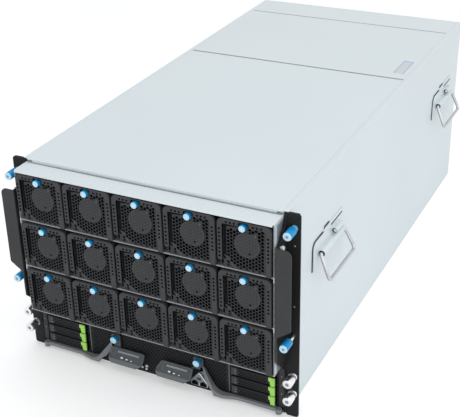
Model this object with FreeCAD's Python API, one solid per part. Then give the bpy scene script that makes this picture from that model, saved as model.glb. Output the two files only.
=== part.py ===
import FreeCAD, Part
import math
import os

# Rack-mounted accelerator server, eight rack units high, in millimetres.
# X runs to the right seen from the front, Y to the rear, Z up.
# The origin is on the floor under the middle of the whole outline.

V = FreeCAD.Vector

# Rack standard and outer body
rack_step = 44.45
unit_count = 8
height_play = 7.6
rack_hole_span = 465.1
ear_edge = 8.75
body_inset = 10.55
first_hole = 6.35
hole_step = 15.875
rack_grid_drop = 7.0
body_depth = 916.0
sheet = 1.5
body_height = unit_count * rack_step - height_play
ear_span = rack_hole_span + 2 * ear_edge
body_width = rack_hole_span - 2 * body_inset
half_width = body_width / 2
wall_inner = half_width - sheet

# Fits between pieces
seat = 0.3
slide_fit = 0.5
pin_fit = 0.05

# Fan wall at the front
cage_side_gap = 6.2
cage_drop = 4.8
cage_bottom = 90.3
cage_projection = 36.0
cage_depth = 102.0
shelf_sheet = 2.2
partition_sheet = 1.2
partition_setback = 13.5
cage_side_setback = 9.0
shelf_tab = 8.0
fan_rows = 3
fan_columns = 5
window_margin = 9.0
backplane_sheet = 2.0
cage_width = body_width - 2 * cage_side_gap
cage_top = body_height - cage_drop

# Fan module
module_gap_x = 3.3
module_gap_top = 2.0
rim_depth = 4.5
rim_left_leg = 7.6
rim_right_leg = 8.3
rim_top_bar = 7.9
rim_corner = 8.0
rim_leg_lift = 12.0
pull_slot = 4.0
pull_slot_margin = 1.6
guard_sheet = 1.5
sleeve_sheet = 1.5
sleeve_inset = 2.5
sleeve_depth = 88.0
guard_disc_r = 19.0
guard_disc_x = 4.0
guard_disc_z = 1.5
guard_cell_pitch = 14.4
guard_cell_flat = 12.0
guard_border = 1.6
knob_notch = 8.0
knob_notch_bevel = 4.0
knob_strip = 1.2
knob_drop = 7.2
knob_r = 5.8
knob_length = 9.0
knob_flats = 12

# Fan rotor and its motor carrier
shroud_wall = 1.0
shroud_flats = 20
rotor_tip_gap = 0.8
rotor_hub_r = 17.0
rotor_length = 26.0
rotor_setback = 12.0
blade_count = 5
blade_sheet = 2.0
blade_pitch = 35.0
blade_root = 16.0
blade_tip = 24.0
carrier_sheet = 3.0
carrier_arm = 9.0
carrier_pad = 34.0

# Chassis shell and covers
top_flange = 8.0
cover_ledge = 8.0
cover_sheet = 1.5
cover_gap = 0.5
cover_lip = 3.0
front_cover_end = 547.0
rear_strip = 84.0
rear_cover_end = body_depth - rear_strip
divider_flange = 14.0

# Rack ears and their handles
ear_sheet = 2.5
ear_return = 60.0
ear_corner = 4.0
handle_sheet = 2.0
handle_web_inset = 3.0
handle_overhang = 1.2
handle_top_drop = 39.0
handle_knee_y = 6.0
handle_knee_drop = 17.0
handle_crest_y = 23.0
handle_low_lift = 3.7
handle_low_rise = 25.0
handle_low_y = 11.0
grip_lift = 44.0
grip_low_slope = 15.0
grip_corner = 9.0
handle_foot = 4.5
handle_web_x = half_width - handle_web_inset
handle_reach = cage_projection
handle_grip_x = ear_span / 2 + handle_overhang
handle_top_front = body_height - handle_top_drop
handle_low_back = cage_bottom + handle_low_lift
handle_low_front = handle_low_back + handle_low_rise
grip_low = handle_low_front + grip_lift
grip_low_outer = grip_low + grip_low_slope

# Captive screws on the ears, by rack unit from below and hole in that unit
upper_screw_unit = 7
lower_screw_unit = 3
node_screw_unit = 1
middle_hole = 1
top_hole = 2
screw_knob_r = 6.5
screw_knob_length = 15.5
screw_sleeve_r = 4.6
screw_sleeve_length = 12.5
screw_knob_edge = 1.0
screw_pulled = 11.0
screw_stud_r = 2.9
screw_neck_r = 2.4
screw_neck_gap = 0.5
screw_stud_tail = 9.0
steel_knob_r = 6.3
steel_knob_length = 12.0
steel_collar_r = 7.4
steel_collar_length = 3.0
steel_collar_flats = 24
steel_neck_r = 4.5
steel_neck_length = 4.5
steel_taper = 4.5

# Side carrying handles
bracket_length = 130.0
bracket_low = 200.0
bracket_height = 47.5
bracket_step = 5.5
bracket_step_y = 47.0
bracket_sheet = 2.0
bracket_corner = 12.0
bracket_front_y = 95.0
bracket_pitch = 637.0
knuckle_r = 5.4
tongue_r = 4.6
tongue_lift = 34.8
tongue_start = 76.0
tongue_length = 28.0
bail_rod_r = 3.0
bail_axis_out = 6.5
bail_axis_lift = 22.0
bail_leg = 43.0
bail_width = 110.0
bail_splay = 5.5
bail_tilt = 24.0
bail_middle = 68.5
bail_pin = 22.0
bail_bend = 5.0

# Rear end
psu_count = 4
psu_side_gap = 8.5
psu_gap = 6.0
psu_height = 41.0
psu_depth = 300.0
psu_floor_gap = 0.4
psu_grip_reach = 24.0
psu_grip_width = 40.0
psu_grip_rod = 5.0
psu_grip_bend = 7.5
psu_pitch = 2 * (wall_inner - psu_side_gap) / psu_count
psu_width = psu_pitch - psu_gap
inlet_width = 25.0
inlet_height = 17.0
inlet_depth = 15.0
psu_vent_count = 4
psu_vent_width = 6.0
psu_vent_gap = 3.0
card_count = 8
card_pitch = 45.0
card_sheet = 1.6
card_height = 98.0
card_depth = 168.0
card_bracket_width = 18.5
card_bracket_sheet = 1.0
card_low = 205.0
rear_vent_rows = 2
rear_vent_columns = 12
rear_vent_side = 16.5
rear_vent_bar = 8.0
rear_vent_height = 22.0
rear_vent_rise = 34.0
rear_vent_low = 122.0
rear_vent_pitch = 2 * (wall_inner - rear_vent_side) / rear_vent_columns
rear_vent_width = rear_vent_pitch - rear_vent_bar

# Accelerator board
board_sheet = 3.0
board_lift = 14.0
board_side_gap = 24.5
board_half = wall_inner - board_side_gap
board_front = 84.0
board_rear = 536.0
post_width = 10.0
sink_columns = 2
sink_rows = 4
sink_width = 168.0
sink_length = 92.0
sink_pitch_x = 190.0
sink_pitch_y = 110.0
sink_base = 14.0
sink_height = 150.0
sink_fins = 6
sink_fin = 7.0

# Compute node drawer at the bottom
node_play = 0.9
node_low = 2.0
node_top_play = 2.8
node_depth = 560.0
node_sheet = 1.5
panel_sheet = 1.5
node_flange_width = 9.0
node_flange_sheet = 2.5
node_flange_low = 14.0
panel_vent_count = 9
panel_vent_pitch = 22.0
panel_vent_width = 16.0
panel_vent_height = 10.0
panel_vent_z = 72.0
mainboard_side = 17.6
mainboard_front = 130.0
mainboard_rear = 545.0
mainboard_lift = 5.0
mainboard_sheet = 2.0
cpu_y = 330.0
cpu_sink_width = 78.0
cpu_sink_length = 110.0
cpu_sink_height = 62.0
cpu_sink_base = 8.0
cpu_sink_fins = 5
cpu_sink_fin = 5.0
dimm_per_bank = 6
dimm_pitch = 7.5
dimm_sheet = 3.0
dimm_height = 31.0
dimm_length = 133.0
dimm_bank_gap = 9.0
node_half = wall_inner - node_play
node_high = cage_bottom - sheet - node_top_play
mainboard_half = node_half - mainboard_side
cpu_x = mainboard_half / 2

# Drives
drive_rows = 3
drive_side = 13.6
drive_width = 74.0
drive_inner_x = node_half - drive_side - drive_width
drive_height = 15.8
drive_shelf = 0.9
drive_low = 15.8
drive_proud = 6.0
drive_depth = 100.0
drive_body_inset = 1.0
drive_wall = 1.2
latch_width = 12.0
latch_proud = 2.0
latch_inset = 0.3
drive_vent_count = 3
drive_vent_width = 12.0
drive_vent_height = 8.0
drive_vent_gap = 4.0
drive_vent_depth = 3.0

# Ejector levers of the node
lever_pivot_inset = 7.6
lever_pivot_x = node_half - lever_pivot_inset
lever_pivot_y = 7.0
lever_pin_r = 3.0
lever_eye_r = 6.0
lever_low = 6.6
lever_bar_height = 6.0
lever_thickness = 4.5
lever_outer_y = 4.5
lever_bow_y = 10.5
lever_bow_x = 120.0
lever_bow_start = 142.0
lever_foot_x = 105.5
lever_foot_height = 6.0
lever_foot_slant = 2.0
lever_arm_curve = 32.0
lever_arm_gap = 1.5
tab_half = 8.5
tab_low = 38.5
tab_shoulder = 47.0
tab_high = 64.0
tab_x = 75.0
tab_back = 2.5
lever_screw_z = 57.0
lever_screw_r = 6.2
lever_screw_length = 8.0
lever_stud_r = 2.0
lug_sheet = 2.5
pod_top_z = 42.0
pod_face_top_y = 7.0
pod_face_low_y = 20.5
pod_face_low_z = 27.0
pod_lip_z = 16.5
pod_lip_y = 19.0
pod_wall = 5.0
pod_back_y = 3.0
left_pod_start = -82.5
left_pod_end = -20.0
right_pod_start = 4.5
right_pod_end = 67.0
pod_end_slant = 12.5
pod_start_slant = 5.5

# Port block between the right grip and its arm
port_block_low_x = 62.0
port_block_high_x = 92.0
port_block_low = 11.5
port_block_shoulder = 19.5
port_block_high = 38.0
port_block_reach = 8.0
port_width = 11.5
port_height = 7.5
port_gap = 3.0
port_low = 13.0

# Derived places
rim_front = cage_projection
front_reach = rim_front - rim_depth + knob_length
rear_reach = psu_grip_reach
rack_plane = (front_reach - body_depth - rear_reach) / 2
cell_x = (cage_width - 2 * sheet) / fan_columns
cell_z = (cage_top - cage_bottom - sheet) / fan_rows
module_width = cell_x - module_gap_x
module_height = cell_z - shelf_sheet - seat - module_gap_top
guard_front = rim_front - rim_depth
rack_hole_x = rack_hole_span / 2
bracket_x = half_width + bracket_sheet
bail_axis_x = half_width + bail_axis_out
bail_axis_z = bracket_low + bail_axis_lift
lever_high = lever_low + lever_bar_height
shroud_r = min(module_width, module_height) / 2 - sleeve_inset - sleeve_sheet - shroud_wall
drive_pitch = drive_height + drive_shelf + 2 * seat
divider_top = cage_bottom
board_low = divider_top + board_lift
board_high = board_low + board_sheet
ear_inner = cage_width / 2 + slide_fit


def at(y):
    """Distance behind the rack plane, as a Y coordinate of the whole object."""
    return rack_plane + y


def block(x0, x1, y0, y1, z0, z1):
    """Straight block between two limits on each axis."""
    low = V(min(x0, x1), min(y0, y1), min(z0, z1))
    return Part.makeBox(abs(x1 - x0), abs(y1 - y0), abs(z1 - z0), low)


def loop(points, radii=None):
    """Closed outline through the points, with a tangent arc at each corner that has a radius."""
    count = len(points)
    radii = radii or [0] * count
    edges = []
    starts, ends = [], []
    middles = []
    for i, corner in enumerate(points):
        before = points[i - 1] - corner
        after = points[(i + 1) % count] - corner
        if not radii[i]:
            starts.append(corner)
            ends.append(corner)
            middles.append(None)
            continue
        before.normalize()
        after.normalize()
        half_turn = before.getAngle(after) / 2
        run = radii[i] / math.tan(half_turn)
        inward = before + after
        inward.normalize()
        starts.append(corner + before * run)
        ends.append(corner + after * run)
        middles.append(corner + inward * (radii[i] / math.sin(half_turn) - radii[i]))
    for i in range(count):
        if middles[i] is not None:
            edges.append(Part.Arc(starts[i], middles[i], ends[i]).toShape())
        onward = starts[(i + 1) % count]
        if ends[i].distanceToPoint(onward) > seat / 100:
            edges.append(Part.makeLine(ends[i], onward))
    return Part.Wire(edges)


def prism_y(points, y0, y1, radii=None):
    """Outline of X and Z pairs, extruded from y0 to y1."""
    wire = loop([V(x, y0, z) for x, z in points], radii)
    return Part.Face(wire).extrude(V(0, y1 - y0, 0))


def prism_x(points, x0, x1, radii=None):
    """Outline of Y and Z pairs, extruded from x0 to x1."""
    wire = loop([V(x0, y, z) for y, z in points], radii)
    return Part.Face(wire).extrude(V(x1 - x0, 0, 0))


def prism_z(points, z0, z1, radii=None):
    """Outline of X and Y pairs, extruded from z0 to z1."""
    wire = loop([V(x, y, z0) for x, y in points], radii)
    return Part.Face(wire).extrude(V(0, 0, z1 - z0))


def rod(r, start, end):
    """Round rod between two points."""
    run = end - start
    return Part.makeCylinder(r, run.Length, start, run)


def turned(x, z, steps):
    """Turned piece on an axis along Y, from radius and Y pairs of its half section."""
    points = [V(x + r, y, z) for r, y in steps]
    face = Part.Face(Part.makePolygon(points + [points[0]]))
    return face.revolve(V(x, 0, z), V(0, 1, 0), 360)


def hole_height(unit, hole):
    """Height of a rack hole, by rack unit from below and hole in that unit."""
    return unit * rack_step + first_hole + hole * hole_step - rack_grid_drop


def ring(x, z, r, sides):
    """Corners of a regular outline round a point, with a flat on the right."""
    turns = [(i + 0.5) * 2 * math.pi / sides for i in range(sides)]
    return [(x + r * math.cos(t), z + r * math.sin(t)) for t in turns]


def hexagon(x, z, flat, y0, y1):
    """Six-sided prism along Y, by its width over the flats."""
    turns = [i * math.pi / 3 for i in range(6)]
    r = flat / math.sqrt(3)
    return prism_y([(x + r * math.cos(t), z + r * math.sin(t)) for t in turns], y0, y1)


def flat_knob(x, z, r, sides, y_back, y_tip, edge):
    """Knob along Y with grip flats and a bevelled front."""
    wires = []
    for y, size in ((y_back, r), (y_tip + edge, r), (y_tip, r - edge)):
        wires.append(loop([V(px, y, pz) for px, pz in ring(x, z, size, sides)]))
    return Part.makeLoft(wires, True, True)


def comb(x, width, base_z, base, height, fins, fin, y0, y1):
    """Finned heat sink: a comb outline extruded along the air flow."""
    low = x - width / 2
    pitch = (width - fin) / (fins - 1)
    points = [(low + width, base_z), (low, base_z)]
    for i in range(fins):
        edge = low + i * pitch
        if i:
            points.append((edge, base_z + base))
        points.append((edge, base_z + height))
        points.append((edge + fin, base_z + height))
        if i < fins - 1:
            points.append((edge + fin, base_z + base))
    return prism_y(points, y0, y1)


def joined(pieces):
    """One solid out of pieces that run into each other."""
    return pieces[0].fuse(pieces[1:]).removeSplitter()


def flipped(shape):
    """The same piece on the other side."""
    return shape.mirror(V(0, 0, 0), V(1, 0, 0))


def save(name, *pieces):
    """Write one node, with each piece as a solid of its own."""
    solids = [solid for piece in pieces for solid in piece.Solids]
    shape = solids[0] if len(solids) == 1 else Part.makeCompound(solids)
    shape.exportStep("parts/" + name + ".step")


def chassis_shell():
    """Folded floor and walls, with a joggled flange along the top for the covers, and the deck inside."""
    flange_x = half_width - top_flange
    ledge_x = flange_x - cover_ledge
    step_z = body_height - cover_sheet
    right = [
        (half_width, 0),
        (half_width, body_height),
        (flange_x, body_height),
        (flange_x, step_z),
        (ledge_x, step_z),
        (ledge_x, step_z - sheet),
        (flange_x + sheet, step_z - sheet),
        (flange_x + sheet, body_height - sheet),
        (wall_inner, body_height - sheet),
        (wall_inner, sheet),
    ]
    left = [(-x, z) for x, z in reversed(right)]
    shell = prism_y(right + left, at(ear_sheet), at(body_depth))
    deck_low = divider_top - sheet
    deck = [
        (wall_inner, deck_low),
        (wall_inner, divider_top + divider_flange),
        (wall_inner - sheet, divider_top + divider_flange),
        (wall_inner - sheet, divider_top),
    ]
    deck += [(-x, z) for x, z in reversed(deck)]
    divider = prism_y(deck, at(ear_return + 2 * sheet), at(body_depth - sheet))
    front_deck_x = cage_width / 2
    deck_front = at(ear_return + 2 * sheet)
    apron = block(-front_deck_x, front_deck_x, at(ear_sheet), deck_front, deck_low, divider_top)
    return shell, joined([divider, apron])


def fan_cage():
    """Frame with a shelf per fan row, its ends turned up, and the board with air windows behind it."""
    front, rear = at(-guard_front), at(cage_depth - cage_projection)
    side = cage_width / 2
    pieces = []
    for low in (cage_bottom, cage_top - sheet):
        pieces.append(block(-side, side, front, rear, low, low + sheet))
    for end in (-1, 1):
        inner = end * (side - sheet)
        pieces.append(block(inner, end * side, front + cage_side_setback, rear, cage_bottom, cage_top))
        for row in range(fan_rows):
            low = cage_bottom + sheet + row * cell_z
            pieces.append(block(inner, end * side, front, rear, low - sheet, low + shelf_tab))
    for row in range(1, fan_rows):
        high = cage_bottom + sheet + row * cell_z
        pieces.append(block(-side, side, front, rear, high - shelf_sheet, high))
    for column in range(1, fan_columns):
        x = -side + sheet + column * cell_x
        half = partition_sheet / 2
        pieces.append(block(x - half, x + half, front + partition_setback, rear, cage_bottom, cage_top))
    cage = joined(pieces)
    board = block(-side, side, rear, rear + backplane_sheet, cage_bottom, cage_top)
    for row in range(fan_rows):
        for column in range(fan_columns):
            x, z = cell_corner(row, column)
            window = block(
                x + window_margin,
                x + module_width - window_margin,
                rear,
                rear + backplane_sheet,
                z + window_margin,
                z + module_height - window_margin,
            )
            board = board.cut(window)
    return cage, board


def cell_corner(row, column):
    """Lower left corner of a fan module, rows counted from the top."""
    x = -cage_width / 2 + sheet + column * cell_x + module_gap_x / 2
    z = cage_bottom + sheet + (fan_rows - 1 - row) * cell_z + seat
    return x, z


def fan_module(row, column):
    """Fan cassette: raised rim, guard with hexagonal cells round a plain disc, and the sleeve behind."""
    x, z = cell_corner(row, column)
    right, top = x + module_width, z + module_height
    middle_x, middle_z = x + module_width / 2, z + module_height / 2
    y_rim, y_guard = at(-rim_front), at(-guard_front)
    y_back = y_guard + guard_sheet
    knob_z = top - knob_drop
    leg_x = x + rim_left_leg
    bevel = rim_left_leg / 3
    leg_low = z + rim_leg_lift
    bar_low = top - rim_top_bar
    notch_left, notch_right = middle_x - knob_notch, middle_x + knob_notch
    notch_high = top - knob_strip
    rim = prism_y(
        [
            (x, leg_low + bevel),
            (x + bevel, leg_low),
            (leg_x - bevel, leg_low),
            (leg_x, leg_low + bevel),
            (leg_x, bar_low),
            (notch_left, bar_low),
            (notch_left, notch_high - knob_notch_bevel),
            (notch_left + knob_notch_bevel, notch_high),
            (notch_right - knob_notch_bevel, notch_high),
            (notch_right, notch_high - knob_notch_bevel),
            (notch_right, bar_low),
            (right - rim_right_leg, bar_low),
            (right - rim_right_leg, z),
            (right, z),
            (right, top),
            (x, top),
        ],
        y_rim,
        y_guard,
        [0] * 14 + [rim_corner, rim_corner],
    )
    plate = prism_y(
        [(leg_x, z), (right, z), (right, top), (x, top), (x, leg_low), (leg_x, leg_low)],
        y_guard,
        y_back,
        [0, 0, rim_corner, rim_corner, 0, 0],
    )
    slot_low = leg_low + bevel
    cuts = [block(leg_x, leg_x + pull_slot, y_guard, y_back, slot_low, bar_low - pull_slot_margin)]
    inset = sleeve_inset + sleeve_sheet
    cuts += guard_cells(
        middle_x + guard_disc_x,
        middle_z + guard_disc_z,
        (leg_x + pull_slot + guard_border, right - rim_right_leg - guard_border),
        (z + guard_border + inset, bar_low - guard_border),
        (y_guard, y_back),
    )
    cassette = joined([rim, plate.cut(cuts), fan_sleeve(x, right, z, top, y_back)])
    knob = flat_knob(middle_x, knob_z, knob_r, knob_flats, y_guard, y_guard - knob_length, screw_knob_edge)
    return cassette, knob


def fan_sleeve(x, right, z, top, y_front):
    """Square sleeve with the shroud round the rotor, and the cross that carries its motor."""
    middle_x, middle_z = (x + right) / 2, (z + top) / 2
    y_end = at(-guard_front) + sleeve_depth
    out = sleeve_inset
    inset = sleeve_inset + sleeve_sheet
    outer = block(x + out, right - out, y_front, y_end, z + out, top - out)
    inner = block(x + inset, right - inset, y_front, y_end, z + inset, top - inset)
    y_rotor = at(-guard_front) + rotor_setback
    carrier_y = y_rotor + rotor_length + seat
    bore = prism_y(ring(middle_x, middle_z, shroud_r, shroud_flats), y_rotor, carrier_y)
    frame = block(x + inset, right - inset, y_rotor, carrier_y, z + inset, top - inset).cut(bore)
    pad, arm = carrier_pad / 2, carrier_arm / 2
    far_x, far_z = middle_x - x - inset, middle_z - z - inset
    quarter = [(far_x, arm), (pad, arm), (pad, pad), (arm, pad), (arm, far_z)]
    cross = quarter + [(-u, w) for u, w in reversed(quarter)]
    cross += [(-u, -w) for u, w in cross]
    corners = [(middle_x + u, middle_z + w) for u, w in cross]
    carrier = prism_y(corners, carrier_y, carrier_y + carrier_sheet)
    return joined([outer.cut(inner), frame, carrier])


def guard_cells(x, z, x_limits, z_limits, y_limits):
    """Hexagonal air cells on a staggered grid round the plain disc, where a whole cell fits."""
    cells = []
    rise = guard_cell_pitch * math.sqrt(3) / 2
    reach = int((cell_x + cell_z) / guard_cell_pitch)
    half = guard_cell_flat / math.sqrt(3)
    for line in range(-reach, reach + 1):
        for step in range(-reach, reach + 1):
            u = line * rise
            w = (step + (line % 2) / 2) * guard_cell_pitch
            clear_x = x_limits[0] <= x + u - half and x + u + half <= x_limits[1]
            clear_z = z_limits[0] <= z + w - half and z + w + half <= z_limits[1]
            clear_disc = math.hypot(u, w) >= guard_disc_r + guard_cell_flat / 4
            if clear_x and clear_z and clear_disc:
                cells.append(hexagon(x + u, z + w, guard_cell_flat, *y_limits))
    return cells


def fan_rotor(row, column):
    """Rotor with its motor inside the hub, and pitched blades that widen to the tip."""
    x, z = cell_corner(row, column)
    x, z = x + module_width / 2, z + module_height / 2
    front = at(-guard_front) + rotor_setback
    rear = front + rotor_length
    middle = (front + rear) / 2
    hub = rod(rotor_hub_r, V(x, front, z), V(x, rear, z))
    pitch = math.radians(blade_pitch)
    corner = (blade_tip * math.sin(pitch) + blade_sheet * math.cos(pitch)) / 2
    sweep_r = shroud_r * math.cos(math.pi / shroud_flats) - rotor_tip_gap
    root_x = x + rotor_hub_r - 2 * blade_sheet
    tip_x = x + math.sqrt(sweep_r**2 - corner**2)
    root, tip = blade_root / 2, blade_tip / 2
    blades = []
    for i in range(blade_count):
        blade = prism_z(
            [
                (root_x, middle - root),
                (tip_x, middle - tip),
                (tip_x, middle + tip),
                (root_x, middle + root),
            ],
            z - blade_sheet / 2,
            z + blade_sheet / 2,
        )
        centre = V(x, middle, z)
        blade.rotate(centre, V(1, 0, 0), blade_pitch)
        blade.rotate(centre, V(0, 1, 0), i * 360 / blade_count)
        blades.append(blade)
    return joined([hub] + blades)


def covers():
    """Front and rear top covers, flat sheets with a turned down lip at the front edge."""
    side = half_width - top_flange - cover_gap
    lip_side = half_width - top_flange - cover_ledge - cover_gap
    low = body_height - cover_sheet
    found = []
    for start, end in ((cover_gap, front_cover_end), (front_cover_end, rear_cover_end)):
        y0, y1 = at(start + cover_gap), at(end - cover_gap)
        plate = block(-side, side, y0, y1, low, body_height)
        lip = block(-lip_side, lip_side, y0, y0 + cover_sheet, low - cover_lip, low)
        found.append(joined([plate, lip]))
    return found


def rack_ear():
    """Right rack ear: front plate, notched beside the node bay, with a return inside the side wall."""
    bay = divider_top + slide_fit
    plate = prism_y(
        [
            (half_width + slide_fit, 0),
            (ear_span / 2, 0),
            (ear_span / 2, body_height),
            (ear_inner, body_height),
            (ear_inner, bay),
            (half_width + slide_fit, bay),
        ],
        at(0),
        at(ear_sheet),
        [0, ear_corner, ear_corner, 0, 0, 0],
    )
    inner_top = body_height - cover_sheet - 2 * sheet
    back = block(wall_inner - sheet, wall_inner, at(ear_sheet), at(ear_return), bay + slide_fit, inner_top)
    ear = joined([plate, back])
    hole_r = screw_stud_r + seat
    for z in (*rack_screw_heights, *node_screw_heights):
        ear = ear.cut(rod(hole_r, V(rack_hole_x, at(0), z), V(rack_hole_x, at(ear_sheet), z)))
    return ear


def ear_handle():
    """Right ear handle: a web that stands forward, with a grip flange turned outwards at its front."""
    reach = at(-handle_reach)
    web_out = handle_web_x + handle_sheet
    web = prism_x(
        [
            (at(0), handle_low_back),
            (at(-handle_low_y), handle_low_back),
            (reach, handle_low_front),
            (reach, handle_top_front),
            (at(-handle_crest_y), handle_top_front),
            (at(-handle_knee_y), body_height - handle_knee_drop),
            (at(0), body_height - sheet),
        ],
        handle_web_x,
        web_out,
        [0, handle_low_y / 2, handle_low_y / 2, 0, grip_corner, grip_corner, 0],
    )
    grip = prism_y(
        [
            (handle_web_x, grip_low),
            (web_out, grip_low),
            (handle_grip_x, grip_low_outer),
            (handle_grip_x, handle_top_front),
            (handle_web_x, handle_top_front),
        ],
        reach,
        reach + handle_sheet,
        [0, 0, grip_corner / 2, grip_corner, 0],
    )
    foot_low = handle_low_back + grip_corner
    foot_high = body_height - sheet - grip_corner
    foot = block(web_out - sheet, web_out + handle_foot, at(-sheet), at(0), foot_low, foot_high)
    return joined([web, grip, foot])


def rack_thumbscrew(x, z, pulled):
    """Captive thumbscrew: knob with grip flats, its sleeve, and the stud on a thin neck through the ear."""
    back = at(-pulled)
    knob_back = back - screw_sleeve_length
    tip = knob_back - screw_knob_length
    knob = flat_knob(x, z, screw_knob_r, knob_flats, knob_back, tip, screw_knob_edge)
    sleeve = rod(screw_sleeve_r, V(x, knob_back, z), V(x, back, z))
    return joined([knob, sleeve, necked_stud(x, z, back)])


def necked_stud(x, z, y_start):
    """Thin neck from the knob through the ear, and the stud behind the ear."""
    start = at(ear_sheet + screw_neck_gap)
    tail = start + screw_stud_tail
    return turned(
        x,
        z,
        [
            (0, y_start),
            (screw_neck_r, y_start),
            (screw_neck_r, start),
            (screw_stud_r, start),
            (screw_stud_r, tail),
            (0, tail),
        ],
    )


def node_screw(x, z):
    """Steel captive screw: knob with grip flats, tapered to a wider collar, and the necked stud."""
    back = at(-steel_collar_length)
    neck = back - steel_neck_length
    knob_back = neck - steel_taper
    tip = knob_back - steel_knob_length
    knob = flat_knob(x, z, steel_knob_r, knob_flats, knob_back, tip, screw_knob_edge)
    flat_r = steel_knob_r * math.cos(math.pi / knob_flats)
    taper = turned(
        x,
        z,
        [(0, knob_back), (flat_r, knob_back), (steel_neck_r, neck), (steel_neck_r, back), (0, back)],
    )
    collar = prism_y(ring(x, z, steel_collar_r, steel_collar_flats), back, at(0))
    return joined([knob, taper, collar, necked_stud(x, z, at(0))])


def side_bracket(front):
    """Right handle bracket: stepped plate with a rolled sleeve for the bail and a rolled tongue above it."""
    y0, y1 = at(front), at(front + bracket_length)
    step = y0 + bracket_step_y
    front_top = bracket_low + bracket_height
    rear_top = front_top + bracket_step
    plate = prism_x(
        [
            (y0, bracket_low),
            (y1, bracket_low),
            (y1, rear_top),
            (step, rear_top),
            (step - bracket_step / 2, front_top),
            (y0, front_top),
        ],
        half_width,
        bracket_x,
        [0, 0, bracket_corner, 0, 0, bracket_corner],
    )
    middle = y0 + bail_middle
    half = bail_width / 2 - bail_splay - bail_rod_r - slide_fit
    tongue = y0 + tongue_start
    rolls = [
        (knuckle_r, bail_axis_z, middle - half, middle + half),
        (tongue_r, bracket_low + tongue_lift, tongue, tongue + tongue_length),
    ]
    pieces = [plate]
    for r, z, start, end in rolls:
        pieces.append(rod(r, V(bail_axis_x, start, z), V(bail_axis_x, end, z)))
        pieces.append(block(half_width, bail_axis_x, start, end, z, z + r))
    body = joined(pieces)
    bore = rod(bail_rod_r + pin_fit, V(bail_axis_x, y0, bail_axis_z), V(bail_axis_x, y1, bail_axis_z))
    return body.cut(bore)


def side_bail(front):
    """Right bail: one bent rod with two pins, two legs that spread downwards, and a grip."""
    middle = at(front + bail_middle)
    half = bail_width / 2
    high_half = half - bail_splay
    tilt = math.radians(bail_tilt)
    low = V(bail_axis_x + bail_leg * math.sin(tilt), 0, bail_axis_z - bail_leg * math.cos(tilt))
    top = V(bail_axis_x, 0, bail_axis_z)
    bend = bail_bend
    path = []
    for end in (-1, 1):
        corner_low = low + V(0, middle + end * half, 0)
        corner_high = top + V(0, middle + end * high_half, 0)
        lift = (corner_high - corner_low).normalize() * bend
        run = [corner_high - V(0, end * bail_pin, 0), corner_high, corner_low + lift]
        run.append(corner_low - V(0, end * bend, 0))
        path += run if end < 0 else run[::-1]
    section = Part.Wire(Part.makeCircle(bail_rod_r, path[0], V(0, 1, 0)))
    right_corners = 1
    return Part.Wire(Part.makePolygon(path)).makePipeShell([section], True, False, right_corners)


def rear_panel():
    """Rear panel with supply bays, card slots and vents, bent forward on top as a fixed strip."""
    y0, y1 = at(body_depth - sheet), at(body_depth)
    strip_side = half_width - top_flange - cover_gap
    strip_low = body_height - cover_sheet
    panel = block(-wall_inner, wall_inner, y0, y1, sheet, strip_low - sheet)
    bend = block(-strip_side + cover_ledge, strip_side - cover_ledge, y0, y1, strip_low - sheet, strip_low)
    strip = block(-strip_side, strip_side, at(rear_cover_end), y1, strip_low, body_height)
    cuts = []
    for x in psu_places():
        half = psu_width / 2 + slide_fit
        high = sheet + psu_floor_gap + psu_height + slide_fit
        cuts.append(block(x - half, x + half, y0, y1, sheet, high))
    for x in card_places():
        half = card_bracket_width / 2 - 2 * sheet
        slot_low, slot_high = card_low + 2 * sheet, card_low + card_height - 2 * sheet
        cuts.append(block(x - half, x + half, y0, y1, slot_low, slot_high))
    for row in range(rear_vent_rows):
        for column in range(rear_vent_columns):
            x = (column - (rear_vent_columns - 1) / 2) * rear_vent_pitch
            z = rear_vent_low + row * rear_vent_rise
            half = rear_vent_width / 2
            cuts.append(block(x - half, x + half, y0, y1, z, z + rear_vent_height))
    return joined([panel.cut(cuts), bend, strip])


def psu_places():
    """Middle of each power supply across the rear."""
    return [(i - (psu_count - 1) / 2) * psu_pitch for i in range(psu_count)]


def card_places():
    """Middle of each expansion card across the rear."""
    return [(i - (card_count - 1) / 2) * card_pitch for i in range(card_count)]


def power_supply(x):
    """Plug-in supply: case with inlet and vents at the rear, and a bent pull grip."""
    rear = at(body_depth)
    low = sheet + psu_floor_gap
    half = psu_width / 2
    high = low + psu_height
    case = block(x - half, x + half, rear - psu_depth, rear, low, high)
    inlet_x = x - half + inlet_width
    middle_z = low + psu_height / 2
    inlet_half = inlet_width / 2
    cuts = [
        block(
            inlet_x - inlet_half,
            inlet_x + inlet_half,
            rear - inlet_depth,
            rear,
            middle_z - inlet_height / 2,
            middle_z + inlet_height / 2,
        )
    ]
    vent_start = inlet_x + inlet_width
    for i in range(psu_vent_count):
        left = vent_start + i * (psu_vent_width + psu_vent_gap)
        vent_low = middle_z - inlet_height / 2
        cuts.append(
            block(left, left + psu_vent_width, rear - 2 * sheet, rear, vent_low, vent_low + inlet_height)
        )
    grip_x0 = vent_start
    grip_x1 = grip_x0 + psu_grip_width
    grip_z = high - psu_grip_rod - sheet
    out = rear + psu_grip_reach
    grip = prism_z(
        [(grip_x0, rear), (grip_x0, out), (grip_x1, out), (grip_x1, rear)],
        grip_z,
        grip_z + psu_grip_rod,
        [0, psu_grip_bend, psu_grip_bend, 0],
    )
    hole = block(grip_x0 + psu_grip_rod, grip_x1 - psu_grip_rod, rear, out - psu_grip_rod, grip_z, high)
    return joined([case.cut(cuts), grip.cut(hole)])


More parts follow.
